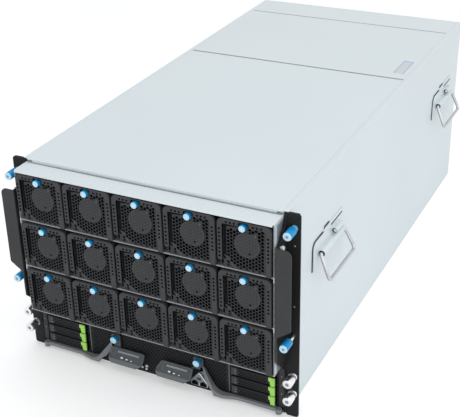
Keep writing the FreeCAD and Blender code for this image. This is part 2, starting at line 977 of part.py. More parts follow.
def expansion_cards():
    """Upright cards on a riser board, each with its bracket against the rear panel."""
    rear = at(body_depth - sheet)
    pieces = []
    half_board = card_places()[-1] + card_pitch / 2
    riser_low = card_low - board_sheet
    riser_front = rear - card_depth - card_pitch
    pieces.append(block(-half_board, half_board, riser_front, rear - sheet, riser_low, card_low))
    for side in (-1, 1):
        for y in (riser_front + post_width, rear - card_pitch):
            x = side * (half_board - post_width)
            half = post_width / 2
            pieces.append(block(x - half, x + half, y - half, y + half, divider_top, riser_low))
    riser = joined(pieces)
    cards = []
    for x in card_places():
        half = card_sheet / 2
        front = rear - card_depth
        card = block(x - half, x + half, front, rear - card_bracket_sheet, card_low, card_low + card_height)
        plate = card_bracket_width / 2
        bracket = block(
            x - plate, x + plate, rear - card_bracket_sheet, rear, card_low, card_low + card_height
        )
        cards.append(joined([card, bracket]))
    return [riser] + cards


def accelerator_board():
    """Board on posts, with a finned heat sink over each accelerator."""
    y0, y1 = at(board_front), at(board_rear)
    half = post_width / 2
    pieces = [block(-board_half, board_half, y0, y1, board_low, board_high)]
    for x in (-board_half + post_width, board_half - post_width):
        for y in (y0 + post_width, (y0 + y1) / 2, y1 - post_width):
            pieces.append(block(x - half, x + half, y - half, y + half, divider_top, board_low))
    solids = [joined(pieces)]
    for column in range(sink_columns):
        for row in range(sink_rows):
            x = (column - (sink_columns - 1) / 2) * sink_pitch_x
            y = (y0 + y1) / 2 + (row - (sink_rows - 1) / 2) * sink_pitch_y
            ends = y - sink_length / 2, y + sink_length / 2
            solids.append(
                comb(x, sink_width, board_high, sink_base, sink_height, sink_fins, sink_fin, *ends)
            )
    return solids


def node_tray():
    """Drawer of the compute node: folded tray with a cage for the drives on each side."""
    y0, y1 = at(panel_sheet), at(node_depth)
    right = [
        (node_half, node_low),
        (node_half, node_high),
        (node_half - node_sheet, node_high),
        (node_half - node_sheet, node_low + node_sheet),
    ]
    tray = prism_y(right + [(-x, z) for x, z in reversed(right)], y0, y1)
    pieces = [tray]
    for side in (-1, 1):
        inner = side * (drive_inner_x - seat - drive_wall)
        outer = side * (drive_inner_x + drive_width + seat + drive_wall)
        top = drive_low + drive_rows * drive_pitch - drive_shelf + drive_wall
        cage_end = at(drive_depth + slide_fit + drive_wall)
        cage = block(inner, outer, y0, cage_end, node_low + node_sheet, top)
        hole_in = inner + side * drive_wall
        hole_out = outer - side * drive_wall
        for row in range(drive_rows):
            low = drive_low + row * drive_pitch - seat
            cage = cage.cut(
                block(hole_in, hole_out, y0, cage_end, low, low + drive_height + 2 * seat)
            )
        under = drive_low - seat - drive_wall
        cage = cage.cut(block(hole_in, hole_out, y0, cage_end, node_low + node_sheet, under))
        pieces.append(cage)
    return joined(pieces)


def node_front_panel():
    """Node front: panel with drive openings and vents, end flanges, lever lugs, and the port block."""
    y_front, y_back = at(0), at(panel_sheet)
    panel = block(-node_half, node_half, y_front, y_back, node_low, node_high)
    cuts = []
    drives_top = drive_low + drive_rows * drive_pitch - drive_shelf
    for side in (-1, 1):
        cuts.append(
            block(
                side * (drive_inner_x - seat),
                side * (drive_inner_x + drive_width + seat),
                y_front,
                y_back,
                drive_low - seat,
                drives_top,
            )
        )
    for i in range(panel_vent_count):
        x = (i - (panel_vent_count - 1) / 2) * panel_vent_pitch
        half = panel_vent_width / 2
        vent_high = panel_vent_z + panel_vent_height
        cuts.append(block(x - half, x + half, y_front, y_back, panel_vent_z, vent_high))
    pieces = [panel.cut(cuts)]
    lug_high = lever_low - seat
    for side in (-1, 1):
        edge = side * node_half
        pieces.append(
            block(
                edge - side * node_flange_width,
                edge,
                at(-node_flange_sheet),
                y_front,
                node_flange_low,
                node_high,
            )
        )
        x = side * lever_pivot_x
        y = at(-lever_pivot_y)
        pad = lever_eye_r
        lug = prism_z(
            [(x - pad, y_front), (x - pad, y - pad), (x + pad, y - pad), (x + pad, y_front)],
            lug_high - lug_sheet,
            lug_high,
            [0, pad - seat, pad - seat, 0],
        )
        pin = rod(lever_pin_r, V(x, y, lug_high), V(x, y, lever_high))
        pieces += [lug, pin]
    outline = [
        (port_block_low_x, port_block_low),
        (port_block_high_x, port_block_low),
        (port_block_high_x, port_block_shoulder),
        ((port_block_low_x + port_block_high_x) / 2, port_block_high),
        (port_block_low_x, port_block_shoulder),
    ]
    corner = port_gap
    ports = prism_y(outline, at(-port_block_reach), y_front, [corner, corner, corner, corner, corner])
    middle = (port_block_low_x + port_block_high_x) / 2
    for side in (-1, 1):
        near = middle + side * port_gap / 2
        ports = ports.cut(
            block(
                near,
                near + side * port_width,
                at(-port_block_reach),
                y_front,
                port_low,
                port_low + port_height,
            )
        )
    return [joined(pieces), ports]


def node_mainboard():
    """Main board on posts, with processor heat sinks and rows of memory modules."""
    floor = node_low + node_sheet
    low = floor + mainboard_lift
    high = low + mainboard_sheet
    y0, y1 = at(mainboard_front), at(mainboard_rear)
    half = post_width / 2
    pieces = [block(-mainboard_half, mainboard_half, y0, y1, low, high)]
    for x in (-mainboard_half + post_width, mainboard_half - post_width):
        for y in (y0 + post_width, y1 - post_width):
            pieces.append(block(x - half, x + half, y - half, y + half, floor, low))
    solids = [joined(pieces)]
    for side in (-1, 1):
        x = side * cpu_x
        y = at(cpu_y)
        reach = cpu_sink_length / 2
        solids.append(
            comb(
                x,
                cpu_sink_width,
                high,
                cpu_sink_base,
                cpu_sink_height,
                cpu_sink_fins,
                cpu_sink_fin,
                y - reach,
                y + reach,
            )
        )
        for bank in (-1, 1):
            for i in range(dimm_per_bank):
                near = cpu_sink_width / 2 + dimm_bank_gap + i * dimm_pitch
                dimm_x = x + bank * near
                thin = dimm_sheet / 2
                run = dimm_length / 2
                dimm_top = high + dimm_height
                solids.append(block(dimm_x - thin, dimm_x + thin, y - run, y + run, high, dimm_top))
    return solids


def drive(side, row):
    """Drive carrier with a vented bezel, and its latch tab at the right end."""
    near = drive_inner_x if side > 0 else -drive_inner_x - drive_width
    x0, x1 = near, near + drive_width
    z0 = drive_low + row * drive_pitch
    z1 = z0 + drive_height
    bezel = block(x0, x1, at(-drive_proud), at(0), z0, z1)
    inset = drive_body_inset
    body = block(x0 + inset, x1 - inset, at(0), at(drive_depth), z0, z1 - inset)
    vent_low = z0 + (drive_height - drive_vent_height) / 2
    cuts = []
    for i in range(drive_vent_count):
        left = x0 + drive_vent_gap + i * (drive_vent_width + drive_vent_gap)
        face = at(-drive_proud)
        cuts.append(
            block(
                left,
                left + drive_vent_width,
                face,
                face + drive_vent_depth,
                vent_low,
                vent_low + drive_vent_height,
            )
        )
    carrier = joined([bezel.cut(cuts), body])
    latch = block(
        x1 - latch_width,
        x1 - latch_inset,
        at(-drive_proud - latch_proud),
        at(-drive_proud),
        z0 + latch_inset,
        z1 - latch_inset,
    )
    return carrier, latch


def lever(side, pod_start, pod_end):
    """Ejector lever: bowed bar with an eye, curved arm, screw tab and hooked grip, and its thumbscrew."""
    port_middle = (port_block_low_x + port_block_high_x) / 2
    near_tab = tab_x - tab_half
    foot_high = lever_low + lever_foot_height
    outline = [
        (lever_pivot_x, lever_low),
        (lever_foot_x, lever_low),
        (lever_foot_x - lever_foot_slant, foot_high),
        (port_block_high_x + lever_arm_gap, port_block_shoulder),
        (port_middle + lever_arm_gap, tab_low),
        (near_tab, tab_low),
        (near_tab, tab_high),
        (tab_x + tab_half, tab_high),
        (tab_x + tab_half, tab_shoulder),
        (lever_foot_x + lever_foot_slant, lever_high),
        (lever_pivot_x, lever_high),
    ]
    curves = [0] * len(outline)
    curves[-2] = lever_arm_curve
    outer_front = lever_outer_y + lever_thickness
    bow_front = lever_bow_y + lever_thickness
    tab_front = tab_back + lug_sheet
    plan = [
        (lever_pivot_x, -outer_front),
        (lever_bow_start, -outer_front),
        (lever_bow_x, -bow_front),
        (lever_foot_x - lever_foot_slant, -bow_front),
        (tab_x + tab_half, -tab_front),
        (near_tab, -tab_front),
        (near_tab, -tab_back),
        (tab_x + tab_half, -tab_back),
        (lever_foot_x - lever_foot_slant, -lever_bow_y),
        (lever_bow_x, -lever_bow_y),
        (lever_bow_start, -lever_outer_y),
        (lever_pivot_x, -lever_outer_y),
    ]
    tall = prism_y([(side * x, z) for x, z in outline], at(-bow_front), at(-tab_back), curves)
    flat = prism_z([(side * x, at(y)) for x, y in plan], lever_low, tab_high)
    bar = tall.common(flat)
    pivot = V(side * lever_pivot_x, at(-lever_pivot_y), lever_low)
    rise = V(0, 0, lever_bar_height)
    eye = rod(lever_eye_r, pivot, pivot + rise)
    grip = prism_x(
        [
            (at(-pod_back_y), pod_top_z),
            (at(-pod_face_top_y), pod_top_z),
            (at(-pod_face_low_y), pod_face_low_z),
            (at(-pod_lip_y), pod_lip_z),
            (at(-pod_lip_y + pod_wall), pod_lip_z),
            (at(-pod_face_low_y + pod_wall), pod_face_low_z),
            (at(-pod_back_y), pod_top_z - pod_wall),
        ],
        pod_start,
        pod_end,
        [0, 0, pod_wall / 2, 0, 0, 0, 0],
    )
    ends = [[(pod_end, pod_lip_z), (pod_end - pod_end_slant, pod_lip_z), (pod_end, pod_face_low_z)]]
    if side > 0:
        top_x = pod_start + pod_start_slant
        ends.append([(pod_start, pod_top_z), (top_x, pod_top_z), (pod_start, pod_face_low_z)])
    for corner in ends:
        grip = grip.cut(prism_y(corner, at(-pod_face_low_y), at(0)))
    pod_outer = pod_end if side > 0 else pod_start
    neck = block(
        pod_outer - side * pod_wall,
        side * (tab_x + tab_half),
        at(-tab_front),
        at(-tab_back),
        tab_low,
        pod_top_z,
    )
    body = joined([bar, eye, grip, neck])
    body = body.cut(rod(lever_pin_r + pin_fit, pivot, pivot + rise))
    screw_x = side * tab_x
    stud_r = lever_stud_r
    hole_front = V(screw_x, at(-tab_front), lever_screw_z)
    hole_back = V(screw_x, at(-tab_back), lever_screw_z)
    body = body.cut(rod(stud_r + pin_fit, hole_front, hole_back))
    tip = at(-tab_front - lever_screw_length)
    screw = turned(
        screw_x,
        lever_screw_z,
        [
            (0, tip),
            (lever_screw_r - screw_knob_edge, tip),
            (lever_screw_r, tip + screw_knob_edge),
            (lever_screw_r, at(-tab_front)),
            (stud_r, at(-tab_front)),
            (stud_r, at(-seat)),
            (0, at(-seat)),
        ],
    )
    return body, screw


rack_screw_heights = hole_height(upper_screw_unit, middle_hole), hole_height(lower_screw_unit, middle_hole)
node_screw_heights = hole_height(node_screw_unit, top_hole), hole_height(node_screw_unit, 0)

os.makedirs("parts", exist_ok=True)

save("chassis_shell", *chassis_shell())
save("fan_cage", *fan_cage())
right_ear, right_handle = rack_ear(), ear_handle()
save("rack_ears", right_ear, flipped(right_ear), right_handle, flipped(right_handle))
sides = (-rack_hole_x, rack_hole_x)
thumbscrews = [rack_thumbscrew(x, rack_screw_heights[0], 0) for x in sides]
thumbscrews += [rack_thumbscrew(x, rack_screw_heights[1], screw_pulled) for x in sides]
save("rack_thumbscrews", *thumbscrews)
save("node_captive_screws", *[node_screw(x, z) for x in sides for z in node_screw_heights])
fronts = {"front": bracket_front_y, "rear": bracket_front_y + bracket_pitch}
brackets = [side_bracket(front) for front in fronts.values()]
save("side_handle_brackets", *brackets, *[flipped(piece) for piece in brackets])
for place, front in fronts.items():
    bail = side_bail(front)
    save("bail_right_" + place, bail)
    save("bail_left_" + place, flipped(bail))
save("rear_panel", rear_panel())
save("accelerator_board", *accelerator_board())
save("expansion_cards", *expansion_cards())
for number, x in enumerate(psu_places(), 1):
    save("power_supply_" + str(number), power_supply(x))
front_cover, rear_cover = covers()
save("front_top_cover", front_cover)
save("rear_top_cover", rear_cover)
for row in range(fan_rows):
    for column in range(fan_columns):
        tag = "r" + str(row + 1) + "c" + str(column + 1)
        save("fan_module_" + tag, *fan_module(row, column))
        save("fan_rotor_" + tag, fan_rotor(row, column))
save("node_tray", node_tray())
save("node_front_panel", *node_front_panel())
save("node_mainboard", *node_mainboard())
save("lever_left", *lever(-1, left_pod_start, left_pod_end))
save("lever_right", *lever(1, right_pod_start, right_pod_end))
for row in range(drive_rows):
    save("drive_left_" + str(row + 1), *drive(-1, row))
    save("drive_right_" + str(row + 1), *drive(1, row))
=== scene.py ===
import math
from collections import namedtuple

import bmesh
import bpy
from mathutils import Matrix, Vector


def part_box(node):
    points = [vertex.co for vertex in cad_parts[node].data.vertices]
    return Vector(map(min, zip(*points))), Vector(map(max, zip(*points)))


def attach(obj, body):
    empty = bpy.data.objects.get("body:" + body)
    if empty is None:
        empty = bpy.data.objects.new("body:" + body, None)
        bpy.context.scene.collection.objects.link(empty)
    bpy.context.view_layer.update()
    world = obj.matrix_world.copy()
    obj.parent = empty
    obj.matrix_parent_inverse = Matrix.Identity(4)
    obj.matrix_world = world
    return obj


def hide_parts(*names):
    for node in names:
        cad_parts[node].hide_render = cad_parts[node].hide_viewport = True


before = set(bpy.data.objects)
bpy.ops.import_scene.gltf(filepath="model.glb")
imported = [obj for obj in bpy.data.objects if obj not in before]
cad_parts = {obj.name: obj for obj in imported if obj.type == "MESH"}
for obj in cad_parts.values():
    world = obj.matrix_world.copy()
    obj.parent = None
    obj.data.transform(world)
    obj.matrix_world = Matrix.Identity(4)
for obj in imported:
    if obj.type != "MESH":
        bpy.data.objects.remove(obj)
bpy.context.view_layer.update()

MM = 0.001
SIDES = (-1, 1)
Point = namedtuple("Point", "x y z")


def box_mm(node):
    """Lowest and highest corner of a node in millimetres."""
    return [Point(*(round(c / MM, 3) for c in end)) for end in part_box(node)]


# Sizes in millimetres. X runs to the right, Y to the rear, Z up.
# RACK_Y is the face of the rack ears, RACK_X half the distance of the rack holes.
SHELL_LOW, SHELL_HIGH = box_mm("chassis_shell")
WALL_X, REAR_Y, TOP_Z = SHELL_HIGH
EAR_SHEET = 2.5
RACK_Y = SHELL_LOW.y - EAR_SHEET
RACK_X = 465.1 / 2


# Materials

def connect(tree, node, inputs):
    """Sets inputs of a node to constants or links them."""
    for key, value in inputs.items():
        if isinstance(value, bpy.types.NodeSocket):
            tree.links.new(value, node.inputs[key])
        else:
            node.inputs[key].default_value = value


def shader_node(tree, kind, inputs, operation=None):
    """New node with its operation and inputs."""
    node = tree.nodes.new(kind)
    if operation:
        node.operation = operation
    connect(tree, node, inputs)
    return node


def maths(tree, operation, *values):
    """Result of an operation on sockets or numbers."""
    return shader_node(tree, "ShaderNodeMath", dict(enumerate(values)), operation).outputs[0]


def noise(tree, coord, scale, detail=3, stretch=(1, 1, 1)):
    """Noise in object space, stretched along the axes."""
    mapping = shader_node(tree, "ShaderNodeMapping", {"Vector": coord.outputs["Object"], "Scale": stretch})
    inputs = {"Vector": mapping.outputs[0], "Scale": scale, "Detail": detail}
    return shader_node(tree, "ShaderNodeTexNoise", inputs).outputs["Fac"]


def spread(tree, source, low, high, start=0.3, end=0.7):
    """Value mapped to a range; noise lies mostly between this start and end."""
    inputs = {"Value": source, "From Min": start, "From Max": end, "To Min": low, "To Max": high}
    return shader_node(tree, "ShaderNodeMapRange", inputs).outputs["Result"]


# Sockets of the mix node that hold colours
MIX_A, MIX_B, MIX_RESULT = 6, 7, 2

FINE_SHARE = 0.4
BUMP_STRENGTH = 0.6


def blend(tree, factor, first, second):
    """Mix of two colours by a factor."""
    node = tree.nodes.new("ShaderNodeMix")
    node.data_type = "RGBA"
    connect(tree, node, {"Factor": factor, MIX_A: first, MIX_B: second})
    return node.outputs[MIX_RESULT]


def scaled(colour, factor, lift=0):
    """Colour made darker or lighter, with its alpha."""
    return (*(min(1, c * factor + lift) for c in colour), 1)


def tones(colour, change):
    """Darker and lighter tone of a colour."""
    return scaled(colour, 1 - change), scaled(colour, 1 + change)


def finish(name, colour, rough, metal=0, change=0.08, grain=900, broad=7, stretch=(1, 1, 1),
           rough_change=0.06, relief=0.00003, level=0.5):
    """Finish with broad and fine changes of tone, uneven gloss and a fine relief."""
    made = bpy.data.materials.new(name)
    made.use_nodes = True
    tree = made.node_tree
    coord = tree.nodes.new("ShaderNodeTexCoord")
    wide = spread(tree, noise(tree, coord, broad, 2), 0, 1 - FINE_SHARE)
    fine = noise(tree, coord, grain, 3, stretch)
    mix = maths(tree, "MULTIPLY_ADD", fine, FINE_SHARE, wide)
    bump = shader_node(tree, "ShaderNodeBump",
                       {"Strength": BUMP_STRENGTH, "Distance": relief, "Height": fine})
    connect(tree, tree.nodes["Principled BSDF"], {
        "Base Color": blend(tree, mix, *tones(colour, change)),
        "Metallic": metal,
        "Roughness": spread(tree, fine, rough - rough_change, rough + rough_change),
        "Specular IOR Level": level,
        "Normal": bump.outputs["Normal"]})
    return made


def zoned(made, colour, border, axis="Z"):
    """Second tone of a finish where a coordinate lies over a border."""
    tree = made.node_tree
    base = tree.nodes["Principled BSDF"].inputs["Base Color"]
    coord = tree.nodes["Texture Coordinate"]
    parts = shader_node(tree, "ShaderNodeSeparateXYZ", {0: coord.outputs["Object"]})
    above = maths(tree, "GREATER_THAN", parts.outputs[axis], border * MM)
    second = blend(tree, noise(tree, coord, 300), *tones(colour, 0.08))
    tree.links.new(blend(tree, above, base.links[0].from_socket, second), base)
    return made


def board(name, base):
    """Circuit board with a fine pattern of tracks."""
    made = finish(name, base, 0.45)
    tree = made.node_tree
    coord = tree.nodes["Texture Coordinate"]
    tracks = shader_node(tree, "ShaderNodeTexBrick", {
        "Vector": coord.outputs["Object"], "Scale": 60, "Mortar Size": 0.03,
        "Color1": scaled(base, 1), "Color2": scaled(base, 0.7), "Mortar": scaled(base, 1.8, 0.01)})
    tree.links.new(tracks.outputs["Color"], tree.nodes["Principled BSDF"].inputs["Base Color"])
    return made


def sheet(name, colour, rough, metal, change):
    """Rolled sheet with long streaks along its depth."""
    return finish(name, colour, rough, metal, change, 500, 3, (1, 0.08, 1), 0.07, 0.00001)


def coat(name, colour, rough, change, level=0.5):
    """Coat or moulding with a fine grain."""
    return finish(name, colour, rough, 0, change, 1500, 25, relief=0.00005, level=level)


def paper(name, colour, change):
    """Smooth surface of a label."""
    return finish(name, colour, 0.4, 0, change, 600, 30, relief=0.000005)


ZINC_TONE = (0.69, 0.755, 0.785)
BOARD_TONE = (0.012, 0.07, 0.035)
ZINC = sheet("zinc_sheet", ZINC_TONE, 0.44, 0.2, 0.03)
ZINC_INNER = sheet("zinc_inner", (0.56, 0.60, 0.62), 0.42, 0.45, 0.05)
# The fan cage is zinc sheet: only its top, above Z 338, has the zinc tone; below that it is painted darker as
# shade inside the fan bay.
SHADED_CAGE_SHEET = zoned(sheet("cage_sheet_painted_shade", (0.30, 0.31, 0.325), 0.44, 0.2, 0.06), ZINC_TONE, 338)
CASE = sheet("supply_case", (0.42, 0.44, 0.46), 0.38, 0.6, 0.05)
STEEL = finish("bright_steel", (0.78, 0.79, 0.80), 0.26, 1, 0.07, 1500, 30, relief=0.00001)
DULL_STEEL = finish("dull_steel", (0.26, 0.26, 0.27), 0.4, 0.3, 0.1, 1500, 30, relief=0.00001)
CHROME = finish("rod_chrome", (0.52, 0.535, 0.55), 0.2, 1, 0.12, 300, 60, relief=0.000005)
RIVET_AND_CREASE_HIGHLIGHT = coat("dark_rivet_and_crease_highlight", (0.10, 0.102, 0.108), 0.4, 0.1, 0.3)
RIM_COAT = coat("black_rim_coat", (0.05, 0.051, 0.054), 0.5, 0.14, 0.2)
GUARD_COAT = coat("black_guard_coat", (0.041, 0.042, 0.045), 0.5, 0.16, 0.2)
DISC_COAT = coat("guard_disc", (0.049, 0.05, 0.054), 0.55, 0.14, 0.2)
PANEL_COAT = coat("black_panel_coat", (0.021, 0.022, 0.024), 0.5, 0.16, 0.15)
FLANGE_COAT = coat("black_flange_coat", (0.035, 0.036, 0.039), 0.45, 0.14, 0.25)
EAR_COAT = zoned(coat("black_ear_coat", (0.06, 0.061, 0.063), 0.45, 0.1, 0.05),
                 (0.026, 0.0263, 0.027), RACK_Y - 33.8, "Y")
# Plain black coat of the ear lips, also used for the strips of painted shade in the gaps beside the node.
EAR_PLAIN_AND_GAP_SHADE = coat("black_ear_plain_and_gap_shade", (0.018, 0.0182, 0.019), 0.45, 0.1, 0.05)
SHADE = coat("shaded_recess", (0.012, 0.012, 0.013), 0.7, 0.15, 0.05)
# Near-black painted shade for the insides of holes and hollows, and for dark sheets behind openings.
DEEP_SHADE = finish("painted_deep_shade", (0.003, 0.003, 0.0035), 0.75, 0, 0.2, broad=20, level=0.05)
# Grey bands of painted shade along the seams between covers and panels.
SEAM_SHADE = finish("seam_gap_shade", (0.22, 0.235, 0.245), 0.6, 0, 0.1, broad=20, level=0.1)
PALE_SEAM_SHADE = finish("pale_seam_gap_shade", (0.30, 0.32, 0.335), 0.6, 0, 0.1, broad=20, level=0.1)
# Near-black for the painted shadow lines round the side handle brackets.
BRACKET_SHADOW = finish("bracket_shadow_line", (0.05, 0.055, 0.06), 0.6, 0, 0.1, broad=20, level=0.1)
ROTOR = finish("rotor_moulding", (0.006, 0.006, 0.007), 0.5, 0, 0.12, 700, 20, level=0.15)
BLUE = coat("blue_moulding", (0.002, 0.28, 0.64), 0.36, 0.06, 0.35)
SKY = coat("light_blue_moulding", (0.16, 0.56, 0.84), 0.36, 0.06, 0.35)
# Pale end of the knobs: partly their own pale tone, partly painted highlight.
PALE_BLUE_AND_HIGHLIGHT = coat("pale_knob_end_and_highlight", (0.50, 0.76, 0.90), 0.35, 0.05)
DRIVER_RECESS = coat("driver_recess", (0.34, 0.33, 0.40), 0.5, 0.1)
LIME = coat("lime_moulding", (0.38, 0.76, 0.13), 0.4, 0.06, 0.35)
SLATE = coat("slate_moulding", (0.060, 0.071, 0.079), 0.45, 0.08, 0.4)
SLATE_LIP = coat("slate_lip", (0.12, 0.135, 0.144), 0.45, 0.1)
SLATE_ARM = coat("slate_arm", (0.205, 0.219, 0.228), 0.42, 0.08, 0.4)
SLATE_DARK = coat("slate_recess", (0.03, 0.035, 0.04), 0.5, 0.1, 0.3)
SLATE_PALE = coat("slate_hatching", (0.34, 0.36, 0.38), 0.5, 0.1)
MOULDING = coat("black_moulding", (0.017, 0.018, 0.0195), 0.42, 0.14, 0.2)
MOULDING_GREY = coat("grey_block", (0.045, 0.047, 0.05), 0.45, 0.12, 0.3)
WHITE = coat("white_mark", (0.80, 0.82, 0.83), 0.5, 0.04)
LABEL = paper("blank_label", (0.60, 0.65, 0.67), 0.03)
LABEL_BLUE = paper("label_end", (0.58, 0.63, 0.76), 0.03)
LABEL_GREY = paper("label_side", (0.34, 0.36, 0.42), 0.06)
LABEL_EDGE = paper("label_edge", (0.20, 0.28, 0.60), 0.06)
SINKS = zoned(board("board_and_sinks", BOARD_TONE), (0.50, 0.52, 0.55), 108)
MAINBOARD = zoned(board("mainboard_and_sinks", BOARD_TONE), (0.42, 0.44, 0.47), 11.5)
CARDS = zoned(board("card_boards", BOARD_TONE), (0.58, 0.61, 0.63), REAR_Y - 2.6, "Y")


# Outlines

SAME = 1e-4
HEX_RISE = math.sqrt(3) / 2


def area(points):
    """Signed area of an outline."""
    return sum(a[0] * b[1] - b[0] * a[1] for a, b in zip(points, points[1:] + points[:1])) / 2


def turned_way(points, sign):
    """Outline in the wanted direction, without repeated points."""
    kept = []
    for p in points:
        if not kept or math.dist(p, kept[-1]) > SAME:
            kept.append(tuple(p))
    if math.dist(kept[0], kept[-1]) <= SAME:
        kept.pop()
    return kept if area(kept) * sign > 0 else kept[::-1]


def arc_at(last, at, following, radius, steps):
    """Arc that rounds a corner, in a plane or in space."""
    at = Vector(at)
    before, after = Vector(last) - at, Vector(following) - at
    half = before.angle(after) / 2
    run = min(radius / math.tan(half), before.length * 0.499, after.length * 0.499)
    before.normalize()
    after.normalize()
    centre = at + (before + after).normalized() * (run * math.tan(half) / math.sin(half))
    start, end = at + before * run - centre, at + after * run - centre
    total = start.angle(end)
    shares = [k / steps for k in range(steps + 1)]
    return [centre + (start * math.sin((1 - t) * total) + end * math.sin(t * total)) / math.sin(total)
            for t in shares]


def rounded(points, radii, steps=5):
    """Outline with rounded corners: one radius for all, or one for each."""
    if not isinstance(radii, (list, tuple)):
        radii = [radii] * len(points)
    out = []
    for i, radius in enumerate(radii):
        following = points[(i + 1) % len(points)]
        arc = arc_at(points[i - 1], points[i], following, radius, steps) if radius > 0 else [points[i]]
        out += [tuple(p) for p in arc]
    return out


def bent(points, radii, steps=6):
    """Path in space with its inner corners rounded."""
    out = [Vector(points[0])]
    for last, at, following, radius in zip(points, points[1:], points[2:], radii):
        out += arc_at(last, at, following, radius, steps)
    return out + [Vector(points[-1])]


def moved_in(points, d):
    """Outline moved to its left by d, with mitred corners."""
    out = []
    for i, p in enumerate(points):
        p = Vector(p)
        first = (p - Vector(points[i - 1])).normalized()
        second = (Vector(points[(i + 1) % len(points)]) - p).normalized()
        n1 = Vector((-first.y, first.x))
        n2 = Vector((-second.y, second.x))
        way = n1 + n2
        way = way.normalized() if way.length > 1e-6 else n1
        out.append(tuple(p + way * (d / max(0.35, way.dot(n1)))))
    return out


def circle(x, z, r, n=16, turn=0):
    """Points of a circle, or of a regular outline."""
    angles = [turn + 2 * math.pi * k / n for k in range(n)]
    return [(x + r * math.cos(a), z + r * math.sin(a)) for a in angles]


def rect(x0, x1, z0, z1):
    return [(x0, z0), (x1, z0), (x1, z1), (x0, z1)]


def soft(x0, x1, z0, z1, radii, steps=2):
    """Rectangle with rounded corners."""
    return rounded(rect(x0, x1, z0, z1), radii, steps)


def reach(side, near, far):
    """Left and right end of a stretch on one side."""
    return sorted((side * near, side * far))


# Placing of outlines

def front_view(x=0, y=0, z=0):
    """Outline in X and Z, with its depth along Y."""
    return lambda u, v, w: (x + u, y + w, z + v)


def rear_view(x=0, y=0, z=0):
    """Outline seen from behind, with its depth towards the front."""
    return lambda u, v, w: (x - u, y - w, z + v)


def top_view(x=0, y=0, z=0):
    """Outline in X and Y, with its depth downwards."""
    return lambda u, v, w: (x + u, y + v, z - w)


def side_view(x, y, z, side):
    """Outline in Y and Z on a side wall, with its depth inwards."""
    return lambda u, v, w: (x - side * w, y + u, z + v)


ON_RACK = front_view(0, RACK_Y, 0)


# Solids. The numbers of materials are their places in the list of looks that a mesh gets at its end.

def ring_of(bm, points, put, w):
    return [bm.verts.new(put(u, v, w)) for u, v in points]


def band(bm, first, second, mat):
    """Strip of faces between two closed rings of points."""
    n = len(first)
    for i in range(n):
        j = (i + 1) % n
        bm.faces.new((first[i], first[j], second[j], second[i])).material_index = mat


def bridge(bm, rings, mat):
    """Bands through a row of rings, closed at both ends."""
    for a, b in zip(rings, rings[1:]):
        band(bm, a, b, mat)
    for end in (rings[0], rings[-1]):
        bm.faces.new(end).material_index = mat


def fill(bm, rings, mat):
    """Flat face inside the first ring, with the other rings as its holes."""
    edges = []
    for ring in rings:
        for i in range(len(ring)):
            pair = (ring[i - 1], ring[i])
            edges.append(bm.edges.get(pair) or bm.edges.new(pair))
    made = bmesh.ops.triangle_fill(bm, use_beauty=True, use_dissolve=False, edges=edges)
    for item in made["geom"]:
        if isinstance(item, bmesh.types.BMFace):
            item.material_index = mat


def slab(bm, outline, w0, w1, put, holes=(), bevel=0, hole_bevel=0, mat=0, wall_mat=None, hole_mat=None,
         edge_mat=None):
    """Plate from depth w0 to w1 with holes and a bevelled front edge."""
    wall = mat if wall_mat is None else wall_mat
    edge = mat if edge_mat is None else edge_mat
    fronts, backs = [], []
    for k, points in enumerate([outline, *holes]):
        loop = turned_way(points, -1 if k else 1)
        cut = hole_bevel if k else bevel
        rings = [ring_of(bm, moved_in(loop, cut), put, w0)] if cut else []
        rings += [ring_of(bm, loop, put, w0 + cut), ring_of(bm, loop, put, w1)]
        if cut:
            band(bm, rings[0], rings[1], edge)
        band(bm, rings[-2], rings[-1], hole_mat if k and hole_mat is not None else wall)
        fronts.append(rings[0])
        backs.append(rings[-1])
    fill(bm, fronts, mat)
    fill(bm, backs, wall)


def turn_form(bm, profile, put, n=28, mat=0):
    """Turned form, from radius, depth and, where it differs, material."""
    rings = [ring_of(bm, circle(0, 0, s[0], n) if s[0] else [(0, 0)], put, s[1]) for s in profile]
    for i, (a, b) in enumerate(zip(rings, rings[1:]), 1):
        look = profile[i][2] if len(profile[i]) > 2 else mat
        if len(a) == 1 or len(b) == 1:
            tip, base = (a[0], b) if len(a) == 1 else (b[0], a)
            for k in range(n):
                bm.faces.new((tip, base[k - 1], base[k])).material_index = look
        else:
            band(bm, a, b, look)


def tube(bm, path, r, n):
    """Round rod along a path, with bevelled ends."""
    way = (path[1] - path[0]).normalized()
    across = way.orthogonal().normalized()
    rings = []
    last = len(path) - 1
    for i, p in enumerate(path):
        before = (p - path[i - 1]).normalized() if i else way
        after = (path[i + 1] - p).normalized() if i < last else before
        now = (before + after).normalized()
        across = way.rotation_difference(now) @ across
        way = now
        up = way.cross(across)
        inward = {0: way, last: -way}.get(i)
        steps = [(p, 0.8 * r), (p + inward * (0.2 * r), r)] if inward else [(p, r)]
        for centre, size in steps if i < last else reversed(steps):
            rings.append([bm.verts.new(centre + (across * u + up * v) * size) for u, v in circle(0, 0, 1, n)])
    bridge(bm, rings, 0)


# Pieces

SHARP = math.radians(34)
BROKEN = math.radians(40)


def mesh_of(name, bm, looks):
    """Mesh in metres with outward faces, smooth but for its sharp edges."""
    bmesh.ops.recalc_face_normals(bm, faces=bm.faces)
    mesh = bpy.data.meshes.new(name)
    bm.to_mesh(mesh)
    bm.free()
    mesh.transform(Matrix.Scale(MM, 4))
    for look in looks:
        mesh.materials.append(look)
    mesh.shade_smooth()
    mesh.set_sharp_from_angle(angle=SHARP)
    return mesh


def drawn(name, looks, *forms):
    """Mesh drawn by one or more functions."""
    bm = bmesh.new()
    for form in forms:
        form(bm)
    return mesh_of(name, bm, looks)


def added(name, data):
    """New object in the scene."""
    made = bpy.data.objects.new(name, data)
    bpy.context.scene.collection.objects.link(made)
    return made


